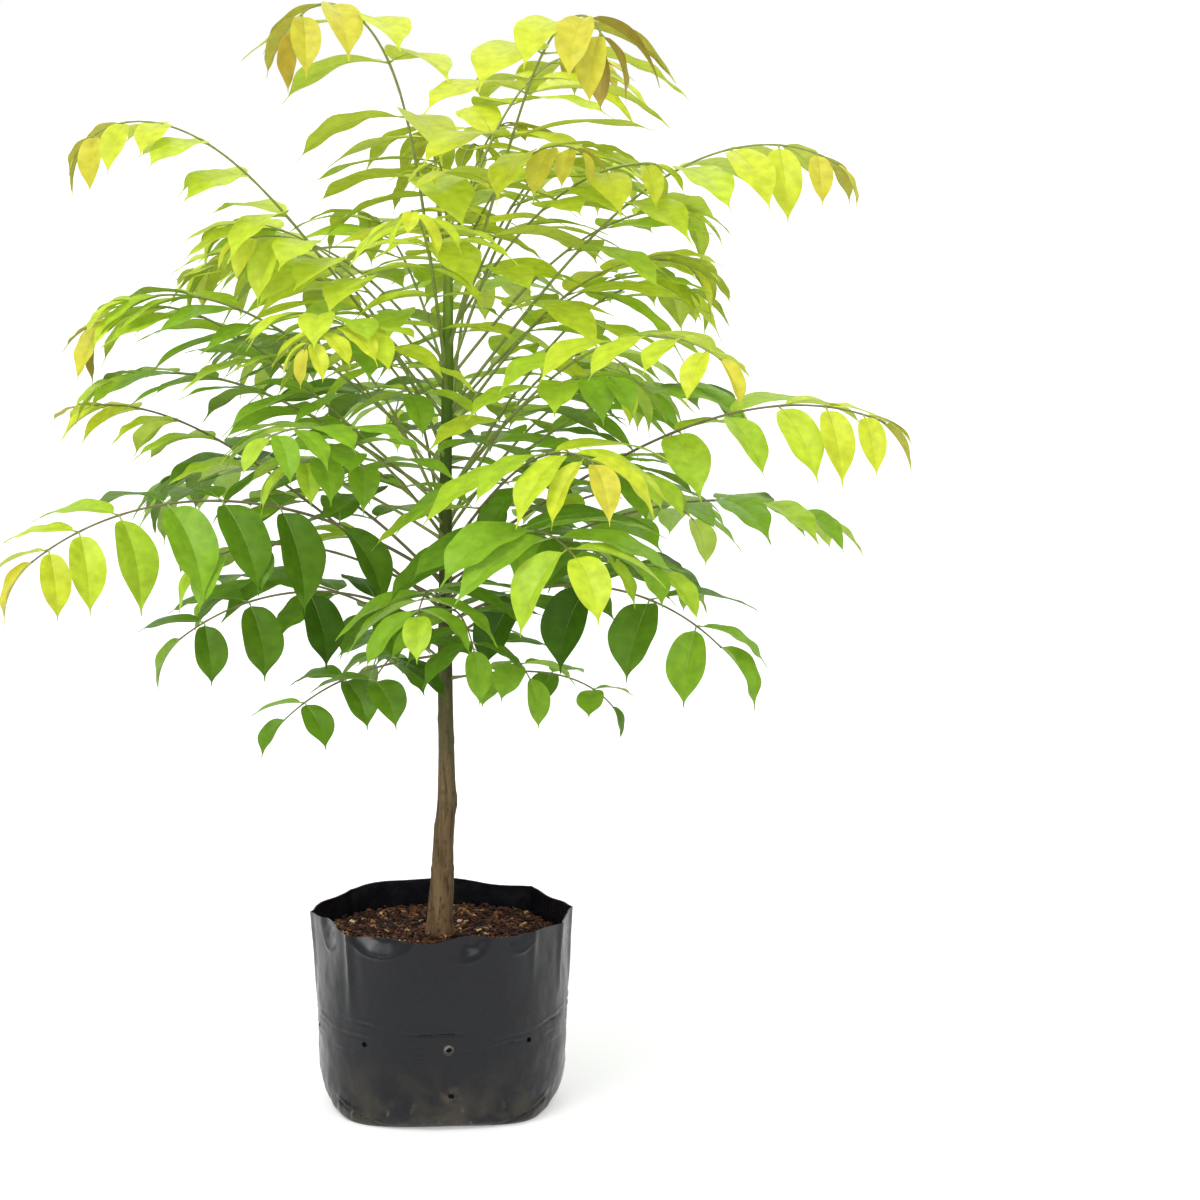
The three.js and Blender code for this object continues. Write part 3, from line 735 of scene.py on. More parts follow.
def feed(node, inputs, out=0):
    """Links a node's inputs or sets them, and gives back one of its outputs"""
    for key, value in inputs.items():
        if isinstance(value, bpy.types.NodeSocket):
            node.id_data.links.new(value, node.inputs[key])
        else:
            node.inputs[key].default_value = value
    return node.outputs[out]


class Nodes:
    """A material's node tree with short calls for the few kinds of node used here"""

    def __init__(self, name, roughness, specular=0.5):
        self.material = bpy.data.materials.new(name)
        self.material.use_nodes = True
        self.tree = self.material.node_tree
        self.shader = self.tree.nodes["Principled BSDF"]
        feed(self.shader, {"Roughness": roughness, "Specular IOR Level": specular})
        self.place = feed(self.node("TexCoord"), {}, "Object")

    def node(self, kind):
        return self.tree.nodes.new("ShaderNode" + kind)

    def noise(self, scale, detail=3, stretch=None):
        place = self.place
        if stretch:
            place = feed(self.node("Mapping"), {"Vector": place, "Scale": stretch})
        return feed(self.node("TexNoise"), {"Vector": place, "Scale": scale, "Detail": detail})

    def height(self):
        return feed(self.node("SeparateXYZ"), {"Vector": self.place}, "Z")

    def distance(self, point):
        node = self.node("VectorMath")
        node.operation = "DISTANCE"
        return feed(node, {0: self.place, 1: point}, "Value")

    def spread(self, value, low, high, to_low=0.0, to_high=1.0):
        ends = {"From Min": low, "From Max": high, "To Min": to_low, "To Max": to_high}
        return feed(self.node("MapRange"), {"Value": value, **ends})

    def patches(self, scale, detail, low, high, to_low=0.0, to_high=1.0, stretch=None):
        """Patches of noise with soft edges, to_low where it is below low, to_high above high"""
        return self.spread(self.noise(scale, detail, stretch), low, high, to_low, to_high)

    def times(self, a, b):
        return self.math("MULTIPLY", a, b)

    def math(self, kind, a, b):
        node = self.node("Math")
        node.operation = kind
        return feed(node, {0: a, 1: b})

    def ramp(self, value, stops):
        node = self.node("ValToRGB")
        elements = node.color_ramp.elements
        while len(elements) < len(stops):
            elements.new(0.5)
        for element, (position, color) in zip(elements, stops):
            element.position = position
            element.color = color
        return feed(node, {"Fac": value}, "Color")

    def blend(self, share, a, b):
        node = self.node("Mix")
        node.data_type = "RGBA"
        return feed(node, {"Factor": share, 6: a, 7: b}, 2)

    def color(self, out):
        feed(self.shader, {"Base Color": out})

    def roughness(self, out):
        feed(self.shader, {"Roughness": out})

    def bump(self, out, strength, distance):
        normal = feed(self.node("Bump"), {"Height": out, "Strength": strength, "Distance": distance})
        feed(self.shader, {"Normal": normal})


LEAF_GLOSS = 0.13
PLAIN_GLOSS = 0.2
BARK_GLOSS = 0.15
FILM_GLOSS = 0.3


def leaf_material(name, code, roughness, contrast):
    n = Nodes(name, roughness, LEAF_GLOSS)
    color = linear(code)
    n.color(n.ramp(n.noise(130, 5), [
        (0.3, shaded(color, 1 - contrast)), (0.5, color), (0.72, shaded(color, 1 + contrast)),
    ]))
    n.roughness(n.patches(240, 2, 0.3, 0.7, roughness - 0.07, roughness + 0.1))
    n.bump(n.noise(900, 2), 0.25, 0.0003)
    return n.material


def plain_material(name, code, roughness, contrast, scale):
    n = Nodes(name, roughness, PLAIN_GLOSS)
    color = linear(code)
    n.color(n.ramp(n.noise(scale, 4), [
        (0.3, shaded(color, 1 - contrast)), (0.7, shaded(color, 1 + contrast)),
    ]))
    n.bump(n.noise(scale * 6, 3), 0.4, 0.0004)
    return n.material


# Colours of the bark up the trunk, from brown at the soil to the green of the tip, and of what is on it. The
# darker olive stops from a fifth to a half of the way up, under the lowest fronds, are painted shade of the
# crown
BARK_TINTS_AND_CROWN_SHADE = [
    (0.0, "4b3320"), (0.09, "503c28"), (0.2, "453e29"), (0.36, "343b1e"), (0.48, "2f4119"), (0.66, "3c581c"),
    (0.82, "5e8028"), (1.0, "a3bd4c"),
]
BARK_STREAK = "857050"
BARK_CRACK = "2c1a11"
BARK_SPECK = "2e2017"


def bark_material():
    n = Nodes("bark", 0.8, BARK_GLOSS)
    up = n.spread(n.height(), SOIL_TOP * MM, TRUNK[-1][0] * MM)
    wander = n.math("ADD", up, n.patches(30, 3, 0.3, 0.7, -0.04, 0.04))
    # the ramp holds painted crown shade: darkest where the lowest fronds leave the trunk
    body = n.ramp(wander, [(share, linear(code)) for share, code in BARK_TINTS_AND_CROWN_SHADE])
    age = n.spread(up, 0.05, 0.5, 0.85, 0.2)
    streaks = n.patches(150, 5, 0.35, 0.68, stretch=(1, 1, 0.09))
    streaked = n.blend(n.times(streaks, age), body, linear(BARK_STREAK))
    cracks = n.patches(210, 5, 0.56, 0.68, stretch=(1, 1, 0.14))
    cracked = n.blend(n.times(cracks, age), streaked, linear(BARK_CRACK))
    specks = n.patches(380, 4, 0.56, 0.64, 0.0, 0.6, stretch=(1, 1, 0.5))
    n.color(n.blend(n.times(specks, age), cracked, linear(BARK_SPECK)))
    n.bump(n.noise(260, 5, (1, 1, 0.12)), 1.0, 0.001)
    return n.material


# Colours of the film, and how high its dust and scuffs reach, in metres
FILM_TINTS = ("05060a", "0a0c13")
DUST_TINT = "3d382b"
DUST_TOP = 0.056
SCUFF_TINT = "7c776a"
SCUFF_TOP = 0.03
# Marks round two of the front holes, in metres: middle, reach of the full mark, where it ends, colour
HOLE_MARKS = [
    ((0.005, -0.0959, 0.064), 0.003, 0.0044, "6f6c64"),
    ((0.0066, -0.0943, 0.028), 0.003, 0.01, "3d342a"),
]


def film_material():
    n = Nodes("bag_film", 0.26, FILM_GLOSS)
    base = n.ramp(n.noise(18, 4), [(0.3, linear(FILM_TINTS[0])), (0.7, linear(FILM_TINTS[1]))])
    dust = n.times(n.spread(n.height(), 0.0, DUST_TOP, 1.0, 0.0), n.patches(42, 6, 0.42, 0.66))
    dusty = n.blend(n.times(dust, 0.85), base, linear(DUST_TINT))
    scuffs = n.patches(120, 6, 0.6, 0.7, stretch=(1, 1, 0.5))
    low = n.spread(n.height(), 0.0, SCUFF_TOP, 0.6, 0.0)
    marked = n.blend(n.times(scuffs, low), dusty, linear(SCUFF_TINT))
    for spot, near, far, code in HOLE_MARKS:
        around = n.spread(n.distance(spot), near, far, 1.0, 0.0)
        marked = n.blend(n.times(around, n.patches(160, 4, 0.4, 0.6)), marked, linear(code))
    n.color(marked)
    n.roughness(n.math("ADD", n.patches(60, 4, 0.3, 0.7, 0.2, 0.34), n.times(dust, 0.3)))
    n.bump(n.noise(210, 4), 0.22, 0.0006)
    return n.material


# Grow bag
FILM_COLUMNS = 288
FILM_ROWS = 130
FILM_THICK = 0.9
RIM_BEVEL = 0.2
RIM_SPAN = 30
FOOT_EASE = 6
FLOOR_RINGS = (0.35, 0.7, 0.93)
INNER_FLOOR_RINGS = (0.9, 0.5)
PROFILE_STEPS = 600
PROFILE_BLUR = 41
PROFILE_EASE = 1.25
FILM_CREASE_ANGLE = 60

# Pleats of the film under the front rim: middle and half width in degrees, height of the fold at
# its middle, how far the fold rises to its ends, and depth
PLEATS = [(242, 17, 134, 10, 8.5), (281, 12, 132, 11, 7.0), (205, 9, 129, 9, 2.4), (306, 10, 135, 8, 2.6)]
PLEAT_ROUNDING = 0.7
PLEAT_SPAN = (-0.5, 12.5)
PLEAT_RUMPLE = 1.1
# A lip under a pleat: height, how far below the fold, and width
PLEAT_LIP = (1.3, 1.2, 1.3)
# Upright creases: angle, height of the ridge, and the height where it fades out
CREASES = [(180, 0.9, 70), (225, 1.1, 78), (0, 0.9, 70), (337.5, 0.8, 84), (315, 0.6, 100), (45, 0.8, 84),
           (135, 0.7, 90), (262, 0.35, 100)]
CREASE_WIDTH = 1.3
CREASE_FADE = 40
# The hollows beside a crease: share of its ridge, how far away, and width, both in degrees
CREASE_HOLLOW = (0.5, 4, 2.4)
# Level creases where the filled part was folded: height, depth, and how it wanders round the bag
LEVEL_CREASES = [(77, 0.7, 2.0, 0.4), (70.5, 0.6, 1.6, 1.9), (62, 0.8, 1.4, 3.1), (56, 0.5, 1.2, 4.4)]
LEVEL_WIDTH = 0.9
LEVEL_BREAKS = 1.6
# The swelling above a level crease: share of its depth, how far above, and width
LEVEL_SWELL = (0.6, 2.4, 1.3)
# Folds at the corners of the foot: angle and height at both ends, and depth
FOOT_FOLDS = [(214, 16, 240, 3, 2.2), (326, 16, 300, 3, 2.2), (34, 16, 60, 3, 2.2), (146, 16, 120, 3, 2.2)]
# The groove and the swelling of a foot fold: share of its depth, how far above its line, and width
FOOT_GROOVE = (1.0, -1.2, 1.2)
FOOT_SWELL = (0.6, 1.6, 1.6)
# Unevenness of the film at its foot, all over and finely: height, scale and seed
FOOT_DENTS = (1.0, 0.13, 9)
DENTS = [(0.9, 0.026, 1), (0.55, 0.07, 2)]
FINE_DENTS = (0.22, 0.2, 3)
RUMPLE = (0.16, 4)
BREAKS = (0.05, 7)
FLATTER = [1, 1, 0.5]
RELIEF_RADIUS = 95
# Heights between which the dents weaken upwards, and those of the foot end
CALM_SPAN = (60, 140)
CALMING = 0.4
FOOT_SPAN = (10, 34)


def wall_radius(angle, radius, height, square):
    """The distance of the wall from the middle, as in the part's source, for arrays"""
    corner = (np.cos(angle) ** SQUARE_POWER + np.sin(angle) ** SQUARE_POWER) ** (-1 / SQUARE_POWER)
    lobe = BAG_LOBE * (0.6 * np.sin(3 * angle + 0.7) + 0.4 * np.sin(7 * angle + 2.1))
    degrees = np.degrees(angle) % 360
    inset = np.zeros_like(degrees)
    for start, end, depth in PANELS:
        within = (degrees > start) & (degrees < end)
        inset = inset + within * depth * np.sin(np.pi * (degrees - start) / (end - start))
    fade = smoothstep(height, PANEL_BOTTOM, PANEL_TOP)
    return radius * mix(1, corner, square) + lobe - fade * inset


def rim_height(angle):
    wave = 0.6 * np.sin(4 * angle + 0.4) + 0.4 * np.sin(9 * angle + 1.0)
    return BAG_HEIGHT + RIM_WAVE * (wave - 1)


def smooth_profile(rows):
    """Radius, height and squareness down the rows, rounded where the profile turns"""
    table = np.array(BAG_PROFILE, dtype=float)
    lengths = np.concatenate([[0], np.cumsum(np.hypot(np.diff(table[:, 0]), np.diff(table[:, 1])))])
    fine = np.linspace(0, lengths[-1], PROFILE_STEPS)
    dense = np.stack([np.interp(fine, lengths, table[:, k]) for k in range(3)], axis=1)
    window = np.hanning(PROFILE_BLUR)
    window /= window.sum()
    pad = PROFILE_BLUR // 2
    padded = np.vstack([np.repeat(dense[:1], pad, 0), dense, np.repeat(dense[-1:], pad, 0)])
    rounded = np.stack([np.convolve(padded[:, k], window, "valid") for k in range(3)], axis=1)
    steps = np.arange(PROFILE_STEPS)
    inner = smoothstep(np.minimum(steps, steps[::-1]), 0, pad * PROFILE_EASE)[:, None]
    keep = np.linspace(0, PROFILE_STEPS - 1, rows).round().astype(int)
    return mix(dense, rounded, inner)[keep]


def noise_field(xyz, scale, seed):
    offset = Vector((seed * 7.3, seed * 3.1, seed * 5.7))
    return np.array([noise.noise(Vector(p) * scale + offset) for p in xyz])


def angle_apart(degrees, middle):
    return (degrees - middle + 180) % 360 - 180


def film_relief(angle, height):
    """How far the film stands out from the plain wall, for flat arrays"""
    degrees = np.degrees(angle) % 360
    out = np.zeros_like(angle)
    spots = ring_points(angle, RELIEF_RADIUS, height)
    rumple = noise_field(spots, *RUMPLE)
    breaks = LEVEL_BREAKS * noise_field(spots, *BREAKS)
    lip, below, lip_width = PLEAT_LIP
    for middle, half, low, rise, depth in PLEATS:
        across = angle_apart(degrees, middle) / half
        window = np.clip(1 - across ** 2, 0, 1) ** PLEAT_ROUNDING
        fold = low + rise * across ** 2
        inside = smoothstep(height, fold + PLEAT_SPAN[0], fold + PLEAT_SPAN[1])
        out -= window * inside * (depth - PLEAT_RUMPLE * rumple)
        out += lip * window * hump(height - fold + below, lip_width)
    share, away, width = CREASE_HOLLOW
    for middle, ridge, bottom in CREASES:
        apart = angle_apart(degrees, middle)
        fade = smoothstep(height, bottom, bottom + CREASE_FADE)
        out += ridge * fade * (hump(apart, CREASE_WIDTH) - share * hump(np.abs(apart) - away, width))
    share, above, width = LEVEL_SWELL
    for level, depth, wander, phase in LEVEL_CREASES:
        line = level + wander * (np.sin(2 * angle + phase) + 0.6 * np.sin(5 * angle + 2 * phase)) + breaks
        strength = np.clip(0.5 + 0.5 * np.sin(3 * angle + 1.7 * phase) + breaks, 0, 1.5)
        swell = share * hump(height - line - above, width)
        out += depth * strength * (swell - hump(height - line, LEVEL_WIDTH))
    for angle_0, z0, angle_1, z1, depth in FOOT_FOLDS:
        way = angle_apart(degrees, angle_0) / angle_apart(np.array(angle_1), angle_0)
        line = mix(z0, z1, way)
        window = smoothstep(way, -0.1, 0.15) * (1 - smoothstep(way, 0.85, 1.15))
        for sign, (share, above, width) in ((-1, FOOT_GROOVE), (1, FOOT_SWELL)):
            out += sign * share * depth * window * hump(height - line - above, width)
    calm = 1 - CALMING * smoothstep(height, *CALM_SPAN)
    foot = 1 - smoothstep(height, *FOOT_SPAN)
    for size, scale, seed in DENTS:
        out += size * calm * noise_field(spots, scale, seed)
    for share, pattern, (size, scale, seed) in ((foot, spots, FOOT_DENTS), (1, spots * FLATTER, FINE_DENTS)):
        out += size * share * noise_field(pattern, scale, seed)
    return out


def ring_points(angle, radius, height):
    return np.stack([radius * np.cos(angle), radius * np.sin(angle), height], axis=1)


def film_rings():
    """Angle, radius and height of each ring of the outer face from the foot's edge to the rim"""
    angle = even_turns(FILM_COLUMNS)
    rings = []
    for radius, height, square in smooth_profile(FILM_ROWS):
        top = smoothstep(height, BAG_HEIGHT - RIM_SPAN, BAG_HEIGHT)
        level = height + top * (rim_height(angle) - BAG_HEIGHT)
        relief = film_relief(angle, level) * smoothstep(height, 0, FOOT_EASE)
        rings.append((angle, wall_radius(angle, radius, level, square) + relief, level))
    return rings


def closed_faces(rings, count):
    """Faces of a closed skin with a first point, rings of as many points each, and a last point"""
    faces = side_faces(rings, count, 1)
    last = 1 + (rings - 1) * count
    faces += [(0, 1 + (k + 1) % count, 1 + k) for k in range(count)]
    faces += [(last + k, last + (k + 1) % count, last + count) for k in range(count)]
    return faces


def make_bag():
    outer = film_rings()
    angle, foot, _ = outer[0]
    floor = np.zeros_like(angle)
    rings = [ring_points(angle, foot * share, floor) for share in FLOOR_RINGS]
    rings += [ring_points(a, r, h) for a, r, h in outer]
    inner = [ring_points(a, r - FILM_THICK, np.maximum(h, FILM_THICK)) for a, r, h in outer]
    inner[-1][:, 2] = outer[-1][2] - RIM_BEVEL
    rings += inner[::-1]
    rings += [ring_points(angle, (foot - FILM_THICK) * k, floor + FILM_THICK) for k in INNER_FLOOR_RINGS]
    points = np.vstack([[[0, 0, 0]], *rings, [[0, 0, FILM_THICK]]])
    skin = single(points, closed_faces(len(rings), FILM_COLUMNS))
    return make_piece("grow_bag_film", skin, [film_material()], ["grow_bag"])


# Holes: sides, radius, how ragged and how flat they are, and what the punches reach through
HOLE_SIDES = 14
HOLE_RADIUS = 2.3
HOLE_RAGGED = 0.5
HOLE_FLATNESS = 0.8
PUNCH_SPAN = (82, 108)


def punch_holes(bag):
    """Ragged round holes through the film where the part has its drain holes"""
    heap = Heap()
    turns = even_turns(HOLE_SIDES)
    for row, (height, number, start) in enumerate(HOLE_ROWS):
        for k in range(number):
            heading = rad(start + 360 * k / number)
            out, along = aim(heading, 0), left_of(heading)
            ragged = np.array([chance(k, j, 21 + row) for j in range(HOLE_SIDES)])
            radii = HOLE_RADIUS + HOLE_RAGGED * ragged
            rise = radii * np.sin(turns) * HOLE_FLATNESS + height
            face = along * (radii * np.cos(turns))[:, None] + np.array([0, 0, 1]) * rise[:, None]
            points = np.vstack([face + out * reach for reach in PUNCH_SPAN])
            heap.add(points, tube_faces(2, HOLE_SIDES))
    punches = add_object("punches", mesh_of("punches", heap))
    cut = bag.modifiers.new("holes", "BOOLEAN")
    cut.operation = "DIFFERENCE"
    cut.solver = "MANIFOLD"
    cut.object = punches
    shaped = bag.evaluated_get(bpy.context.evaluated_depsgraph_get())
    pierced = bpy.data.meshes.new_from_object(shaped)
    bag.modifiers.clear()
    bag.data = pierced
    bpy.data.objects.remove(punches)
    bag.data.set_sharp_from_angle(angle=rad(FILM_CREASE_ANGLE))


# Soil bed: heights of its rings, how far its top lies under the part's, its gaps to the film, and
# the height, scale and seed of its unevenness
SOIL_COLUMNS = 128
SOIL_RINGS = 22
BED_DROP = 2
BED_LEVELS = (1.2, 4, 11, 26, 66, 112, 122, SOIL_TOP - BED_DROP)
WALL_GAP = 1.4
BED_GAP = 1.2
BED_EDGE_GAP = 1.6
BED_SWELLS = [(1.6, 0.06, 5), (0.9, 0.2, 6)]
# Chips: name, colour and share of each kind, and the spread of their sizes and slopes
CHIP_COUNT = 3900
CHIP_TINTS = [
    ("dark", "180f0a", 0.37), ("red", "3c2015", 0.34), ("brown", "52321e", 0.2), ("tan", "745231", 0.07),
    ("pale", "a68e6a", 0.02),
]
SHORT_CHIP = (2.6, 5.2)
LONG_CHIP = (5.2, 8.8)
SHORT_CHIP_SHARE = 0.8
CHIP_WIDTH = (0.3, 0.62)
CHIP_THICKNESS = (0.7, 1.7)
CHIP_PITCH = 0.28
CHIP_ROLL = 0.4
CHIP_ROUGHNESS = ((0.78, 1.05), (0.7, 1.05), (0.6, 1.1))
CHIP_TAPER = 0.35
CHIP_EDGE = 0.4
CHIP_CLEARANCE = 1
CHIP_SINK = 1.3
CHIP_PILE = 2.2
# Chips pile up round the trunk: height, how far from its middle, and width
TRUNK_PILE = (0.96, 12, 14)


def wall_at(angle, height):
    """The inside of the film at an angle and a height, without its relief"""
    table = np.array(BAG_PROFILE, dtype=float)
    radius = np.interp(height, table[:, 1], table[:, 0])
    square = np.interp(height, table[:, 1], table[:, 2])
    return wall_radius(angle, radius, height, square) - WALL_GAP


def make_soil():
    angle = even_turns(SOIL_COLUMNS)
    levels = [np.full_like(angle, height) for height in BED_LEVELS]
    rings = [ring_points(angle, wall_at(angle, level) - BED_GAP, level) for level in levels]
    edge = wall_at(angle, levels[-1]) - BED_EDGE_GAP
    for k in range(SOIL_RINGS):
        spots = ring_points(angle, edge * (1 - (k + 1) / (SOIL_RINGS + 1)), levels[-1])
        spots[:, 2] += sum(height * noise_field(spots, scale, seed) for height, scale, seed in BED_SWELLS)
        rings.append(spots)
    points = np.vstack([[[0, 0, BED_LEVELS[0]]], *rings, [[0, 0, BED_LEVELS[-1]]]])
    ground = plain_material("soil_ground", "170e09", 0.95, 0.4, 300)
    bed = single(points, closed_faces(len(rings), SOIL_COLUMNS))
    make_piece("soil_bed", bed, [ground], ["soil"])


SQUARE = [(-1, -1), (1, -1), (1, 1), (-1, 1)]
CHIP_FACES = [(0, 3, 2, 1), (4, 5, 6, 7), (0, 1, 5, 4), (1, 2, 6, 5), (2, 3, 7, 6), (3, 0, 4, 7)]


def make_chips():
    """Husk and bark chips that lie on the soil and on each other"""
    rng = random.Random(11)
    heaps = [Heap() for _ in CHIP_TINTS]
    weights = [share for _, _, share in CHIP_TINTS]
    pile, pile_at, pile_width = TRUNK_PILE
    for _ in range(CHIP_COUNT):
        angle = rng.uniform(0, 2 * math.pi)
        long = rng.uniform(*(SHORT_CHIP if rng.random() < SHORT_CHIP_SHARE else LONG_CHIP))
        wide = long * rng.uniform(*CHIP_WIDTH)
        half = np.array([long, wide, rng.uniform(*CHIP_THICKNESS)]) / 2
        yaw, pitch, roll = rng.uniform(0, math.pi), rng.gauss(0, CHIP_PITCH), rng.gauss(0, CHIP_ROLL)
        limit = float(wall_at(np.array(angle), np.array(float(SOIL_TOP)))) - BED_GAP
        distance = math.sqrt(rng.random()) * (limit - math.hypot(long, wide) * CHIP_EDGE)
        middle = aim(angle, 0) * distance
        near_trunk = math.hypot(middle[0] - TRUNK[0][1], middle[1])
        if near_trunk < TRUNK[0][2] + CHIP_CLEARANCE:
            continue
        middle[2] = SOIL_TOP - CHIP_SINK + rng.uniform(0, CHIP_PILE)
        middle[2] += pile * hump(near_trunk - pile_at, pile_width)
        corners = []
        for x, y, z in [(x, y, z) for z in (-1, 1) for x, y in SQUARE]:
            taper = 1 - CHIP_TAPER * rng.random() if x > 0 else 1
            rough = [rng.uniform(*span) for span in CHIP_ROUGHNESS]
            corners.append(half * [x, y * taper, z] * rough)
        corners = np.array(corners)
        for a, b, turn in ((1, 2, roll), (0, 2, pitch), (0, 1, yaw)):
            cos, sin = math.cos(turn), math.sin(turn)
            corners[:, [a, b]] = corners[:, [a, b]] @ [[cos, sin], [-sin, cos]]
        rng.choices(heaps, weights)[0].add(corners + middle, CHIP_FACES)
    for heap, (name, code, _) in zip(heaps, CHIP_TINTS):
        chip = plain_material("chips_" + name, code, 0.85, 0.35, 260)
        make_piece("soil_chips_" + name, heap, [chip], ["soil"], crease=30)


# Trunk
BARK_SIDES = 56
BARK_STEP = 2.4
TRUNK_FOOT = SOIL_TOP - 2.5
TRUNK_BLUR = 9
TRUNK_CAP = 1.5
# The flare at the soil: height, width, and how much of it goes all round
FLARE = (1.3, 9, 0.4)
# Roughness of the bark: relief on the young wood and on the old, scale and seed
BARK_RELIEF = [(0.08, 0.42, 0.32, 8, 1), (0.04, 0.24, 0.8, 9, 1.6)]
BARK_STRETCH = 0.16
OLD_SPAN = (130, 460)
# Ring scar: relief, height and width of its ridge and of the groove above it
RING_SCAR = [(0.55, 180, 1.7), (-0.4, 184, 1.6)]
# Leaf scars and knots: height, angle, size, relief
SCARS = [
    (180, 300, 4.5, 0.9), (196, 60, 4.0, 0.7), (212, 200, 4.5, 0.8), (233, 355, 6.0, 1.6),
    (246, 130, 4.0, 0.7), (262, 250, 4.2, 0.8), (280, 20, 3.8, 0.7), (296, 160, 3.8, 0.7),
    (312, 285, 3.6, 0.6),
]


def make_trunk():
    table = np.array(TRUNK, dtype=float)
    angle = even_turns(BARK_SIDES)
    flare, flare_width, even = FLARE
    rings = []
    for z in np.arange(TRUNK_FOOT, TRUNK[-1][0] + 0.1, BARK_STEP):
        near = np.linspace(-TRUNK_BLUR, TRUNK_BLUR, 13) + z
        centre = np.interp(near, table[:, 0], table[:, 1]).mean()
        radius = np.interp(near, table[:, 0], table[:, 2]).mean()
        old = 1 - clamp01((z - OLD_SPAN[0]) / (OLD_SPAN[1] - OLD_SPAN[0]))
        lobes = even + (1 - even) * np.cos(3 * angle + 0.6)
        around = radius + flare * hump(z - SOIL_TOP, flare_width) * lobes
        spots = ring_points(angle, radius, np.full_like(angle, z * BARK_STRETCH))
        for young_relief, old_relief, scale, seed, squeeze in BARK_RELIEF:
            rough = noise_field(spots * [1, 1, squeeze], scale, seed)
            around = around + mix(young_relief, old_relief, old) * rough
        for relief, level, width in RING_SCAR:
            around = around + relief * old * hump(z - level, width)
        for level, turn, size, relief in SCARS:
            apart = np.radians(angle_apart(np.degrees(angle), turn)) * radius
            away = ((z - level) / size) ** 2 + (apart / size) ** 2
            around = around + relief * (np.exp(-away) - 0.5 * np.exp(-away * 6))
        rings.append(ring_points(angle, around, np.full_like(angle, z)) + [centre, 0, 0])
    tip = [[TRUNK[-1][1], 0, TRUNK[-1][0] + TRUNK_CAP]]
    skin = single(np.vstack([*rings, tip]), tube_faces(len(rings), BARK_SIDES, tip=True))
    make_piece("trunk_bark", skin, [bark_material()], ["trunk"])


# Crown
def make_crown():
    blades = [Heap() for _ in TINTS]
    ribs = {"low": Heap(), "high": Heap()}
    stalks = {"low": Heap(), "high": Heap()}
    for index, frond in enumerate(grow_fronds()):
        nodes = {"frond_" + frond["name"]} if index < len(FRONDS) else set()
        band = "high" if frond["node"] >= HIGH_STALK else "low"
        points, faces = fine_stalk(frond)
        stalks[band].add(points, faces)
        stalks[band].nodes |= nodes
        foot_tone = frond.get("tone", mix(*INNER_TONES, youth(frond) ** INNER_TONE_POWER))
        gain = frond.get("tone_gain", INNER_GAIN)
        for pose in frond["leaflets"]:
            tone = foot_tone + gain * pose["share"] ** TONE_POWER + TONE_JITTER * pose["turn"](6)
            tint = int(round(min(len(TINTS) - 1, max(0, tone))))
            blades[tint].add(fine_blade(pose), BLADE_FACES, BLADE_MARKS)
            blades[tint].nodes |= nodes
            rib_band = "high" if tint >= HIGH_TINT else "low"
            ribs[rib_band].add(fine_midrib(pose), MIDRIB_FACES)
            ribs[rib_band].nodes |= nodes
    for heap, (name, face, under, slot) in zip(blades, TINTS):
        materials = [
            leaf_material("leaf_" + name, face, FACE_ROUGHNESS, FACE_MOTTLE),
            # the underside tints hold the undersides' own paleness and painted light shining through the
            # leaves
            leaf_material("leaf_under_" + name, under, UNDER_ROUGHNESS, UNDER_MOTTLE),
        ]
        make_piece("leaflets_" + name, heap, materials, heap.nodes, crease=CREASE_ANGLE)
    for band, code, slot in (("low", "86a05a", "leaf_green"), ("high", "8d9c34", "leaf_lime")):
        midrib = plain_material("midrib_" + band, code, 0.5, 0.12, 200)
        make_piece("midribs_" + band, ribs[band], [midrib], ribs[band].nodes)
    for band, code in (("low", "6d6a48"), ("high", "7f8a4a")):
        skin = plain_material("stalk_" + band, code, 0.55, 0.18, 120)
        make_piece("stalks_" + band, stalks[band], [skin], stalks[band].nodes)


# Floor, light and camera, in metres
FLOOR_REACH = 60
FLOOR_DROP = 0.0003
FLOOR_COLOR = (0.8, 0.8, 0.8, 1)
AMBIENT = 0.8
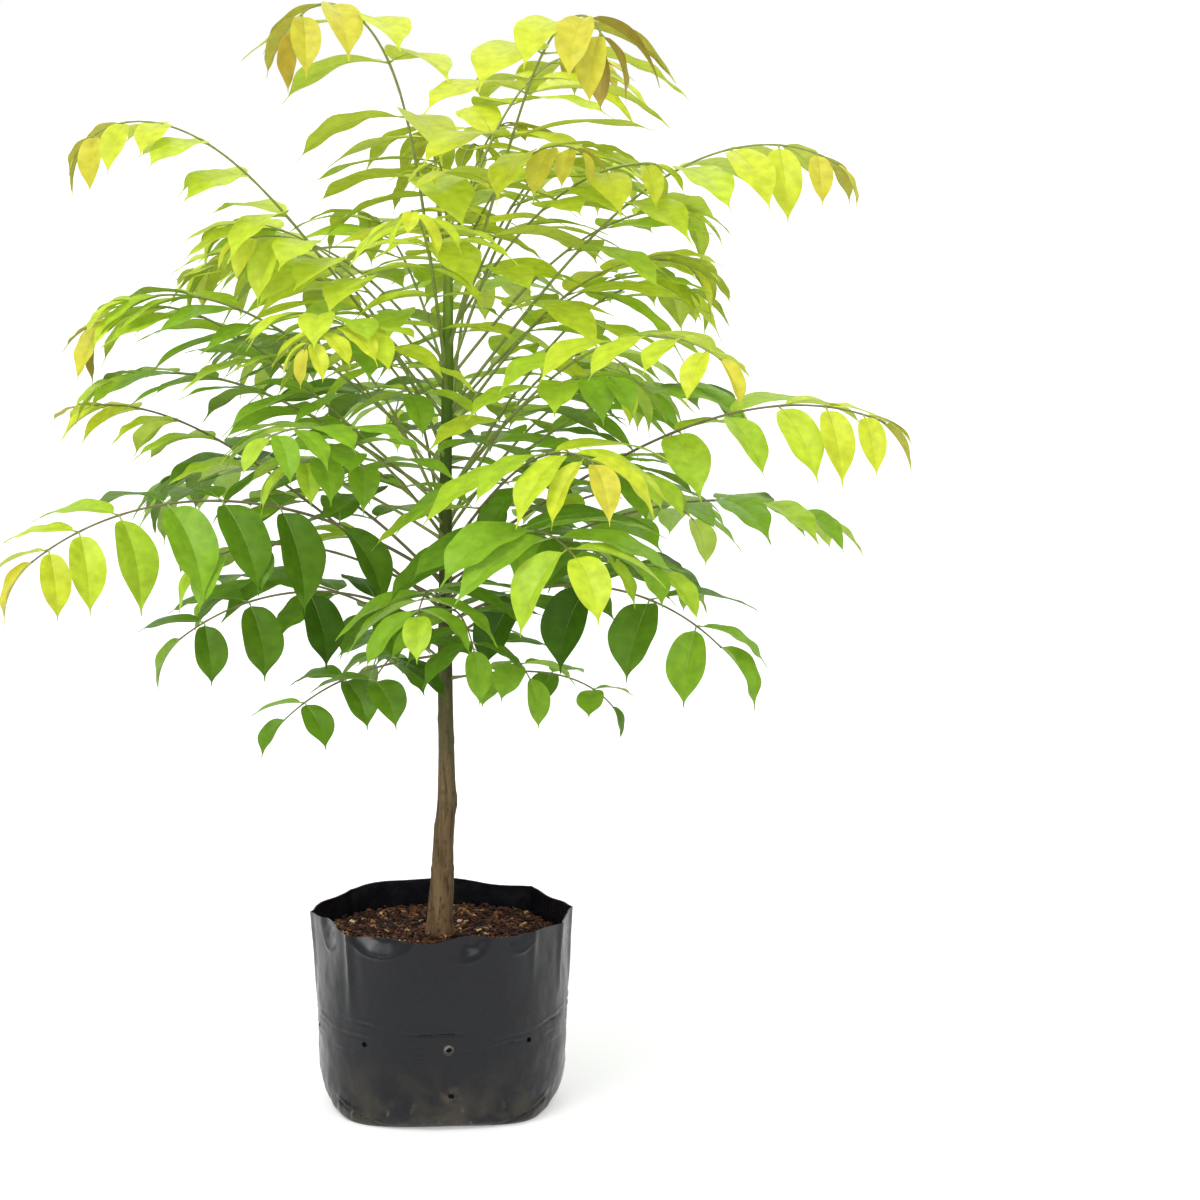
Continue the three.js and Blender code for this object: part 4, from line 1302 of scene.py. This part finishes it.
# Suns: name, place, spread in degrees, strength, and whether it casts shadows. The two that
# don't stand for the light that leaves let through and pass on to each other.
SUNS = [
    ("key", (-1.0, -1.1, 2.8), 28, 1.15, True),
    ("fill", (1.9, -1.3, 1.2), 50, 0.3, True),
    ("back", (0.5, 1.6, 2.0), 40, 0.4, True),
    ("glow", (-0.6, -0.8, 2.5), 60, 2.0, False),
    ("bounce", (0.3, -1.6, -0.4), 90, 0.5, False),
]
SUN_TARGET = (0, 0, 0.4)
CAMERA_PLACE = (0, -2.60, 0.80)
CAMERA_TARGET = (0.122, 0, 0.387)
CAMERA_LENS = 104.4
CAMERA_SENSOR = 36


def facing(place, target):
    """The turn of a lamp or camera at a place that looks at a target"""
    return (Vector(target) - Vector(place)).to_track_quat("-Z", "Y").to_euler()


def make_floor():
    mesh = bpy.data.meshes.new("floor")
    corners = [(x * FLOOR_REACH, y * FLOOR_REACH, -FLOOR_DROP) for x, y in SQUARE]
    mesh.from_pydata(corners, [], [(0, 1, 2, 3)])
    floor = add_object("floor", mesh)
    pale = Nodes("floor_pale", 0.6)
    pale.color(FLOOR_COLOR)
    mesh.materials.append(pale.material)


def make_sun(name, place, spread, strength, shadows):
    """A soft sun that shines from a place towards the middle of the tree"""
    lamp = bpy.data.lights.new(name, "SUN")
    lamp.angle = rad(spread)
    lamp.energy = strength
    lamp.use_shadow = shadows
    holder = add_object(name, lamp)
    holder.location = place
    holder.rotation_euler = facing(place, SUN_TARGET)


def make_lights():
    """A white backdrop that lights the tree more dimly than it looks, and five soft suns"""
    world = bpy.data.worlds.new("studio")
    bpy.context.scene.world = world
    world.use_nodes = True
    nodes = world.node_tree.nodes
    seen = feed(nodes.new("ShaderNodeLightPath"), {}, "Is Camera Ray")
    level = feed(nodes.new("ShaderNodeMapRange"), {"Value": seen, "To Min": AMBIENT, "To Max": 1.0})
    feed(nodes["Background"], {"Color": (1, 1, 1, 1), "Strength": level})
    for sun in SUNS:
        make_sun(*sun)
    bpy.context.scene.view_settings.view_transform = "Standard"


def make_camera():
    lens = bpy.data.cameras.new("camera")
    lens.lens = CAMERA_LENS
    lens.sensor_width = CAMERA_SENSOR
    camera = add_object("camera", lens)
    camera.location = CAMERA_PLACE
    camera.rotation_euler = facing(CAMERA_PLACE, CAMERA_TARGET)
    bpy.context.scene.camera = camera


make_camera()
make_lights()
make_floor()
punch_holes(make_bag())
make_soil()
make_chips()
make_trunk()
make_crown()
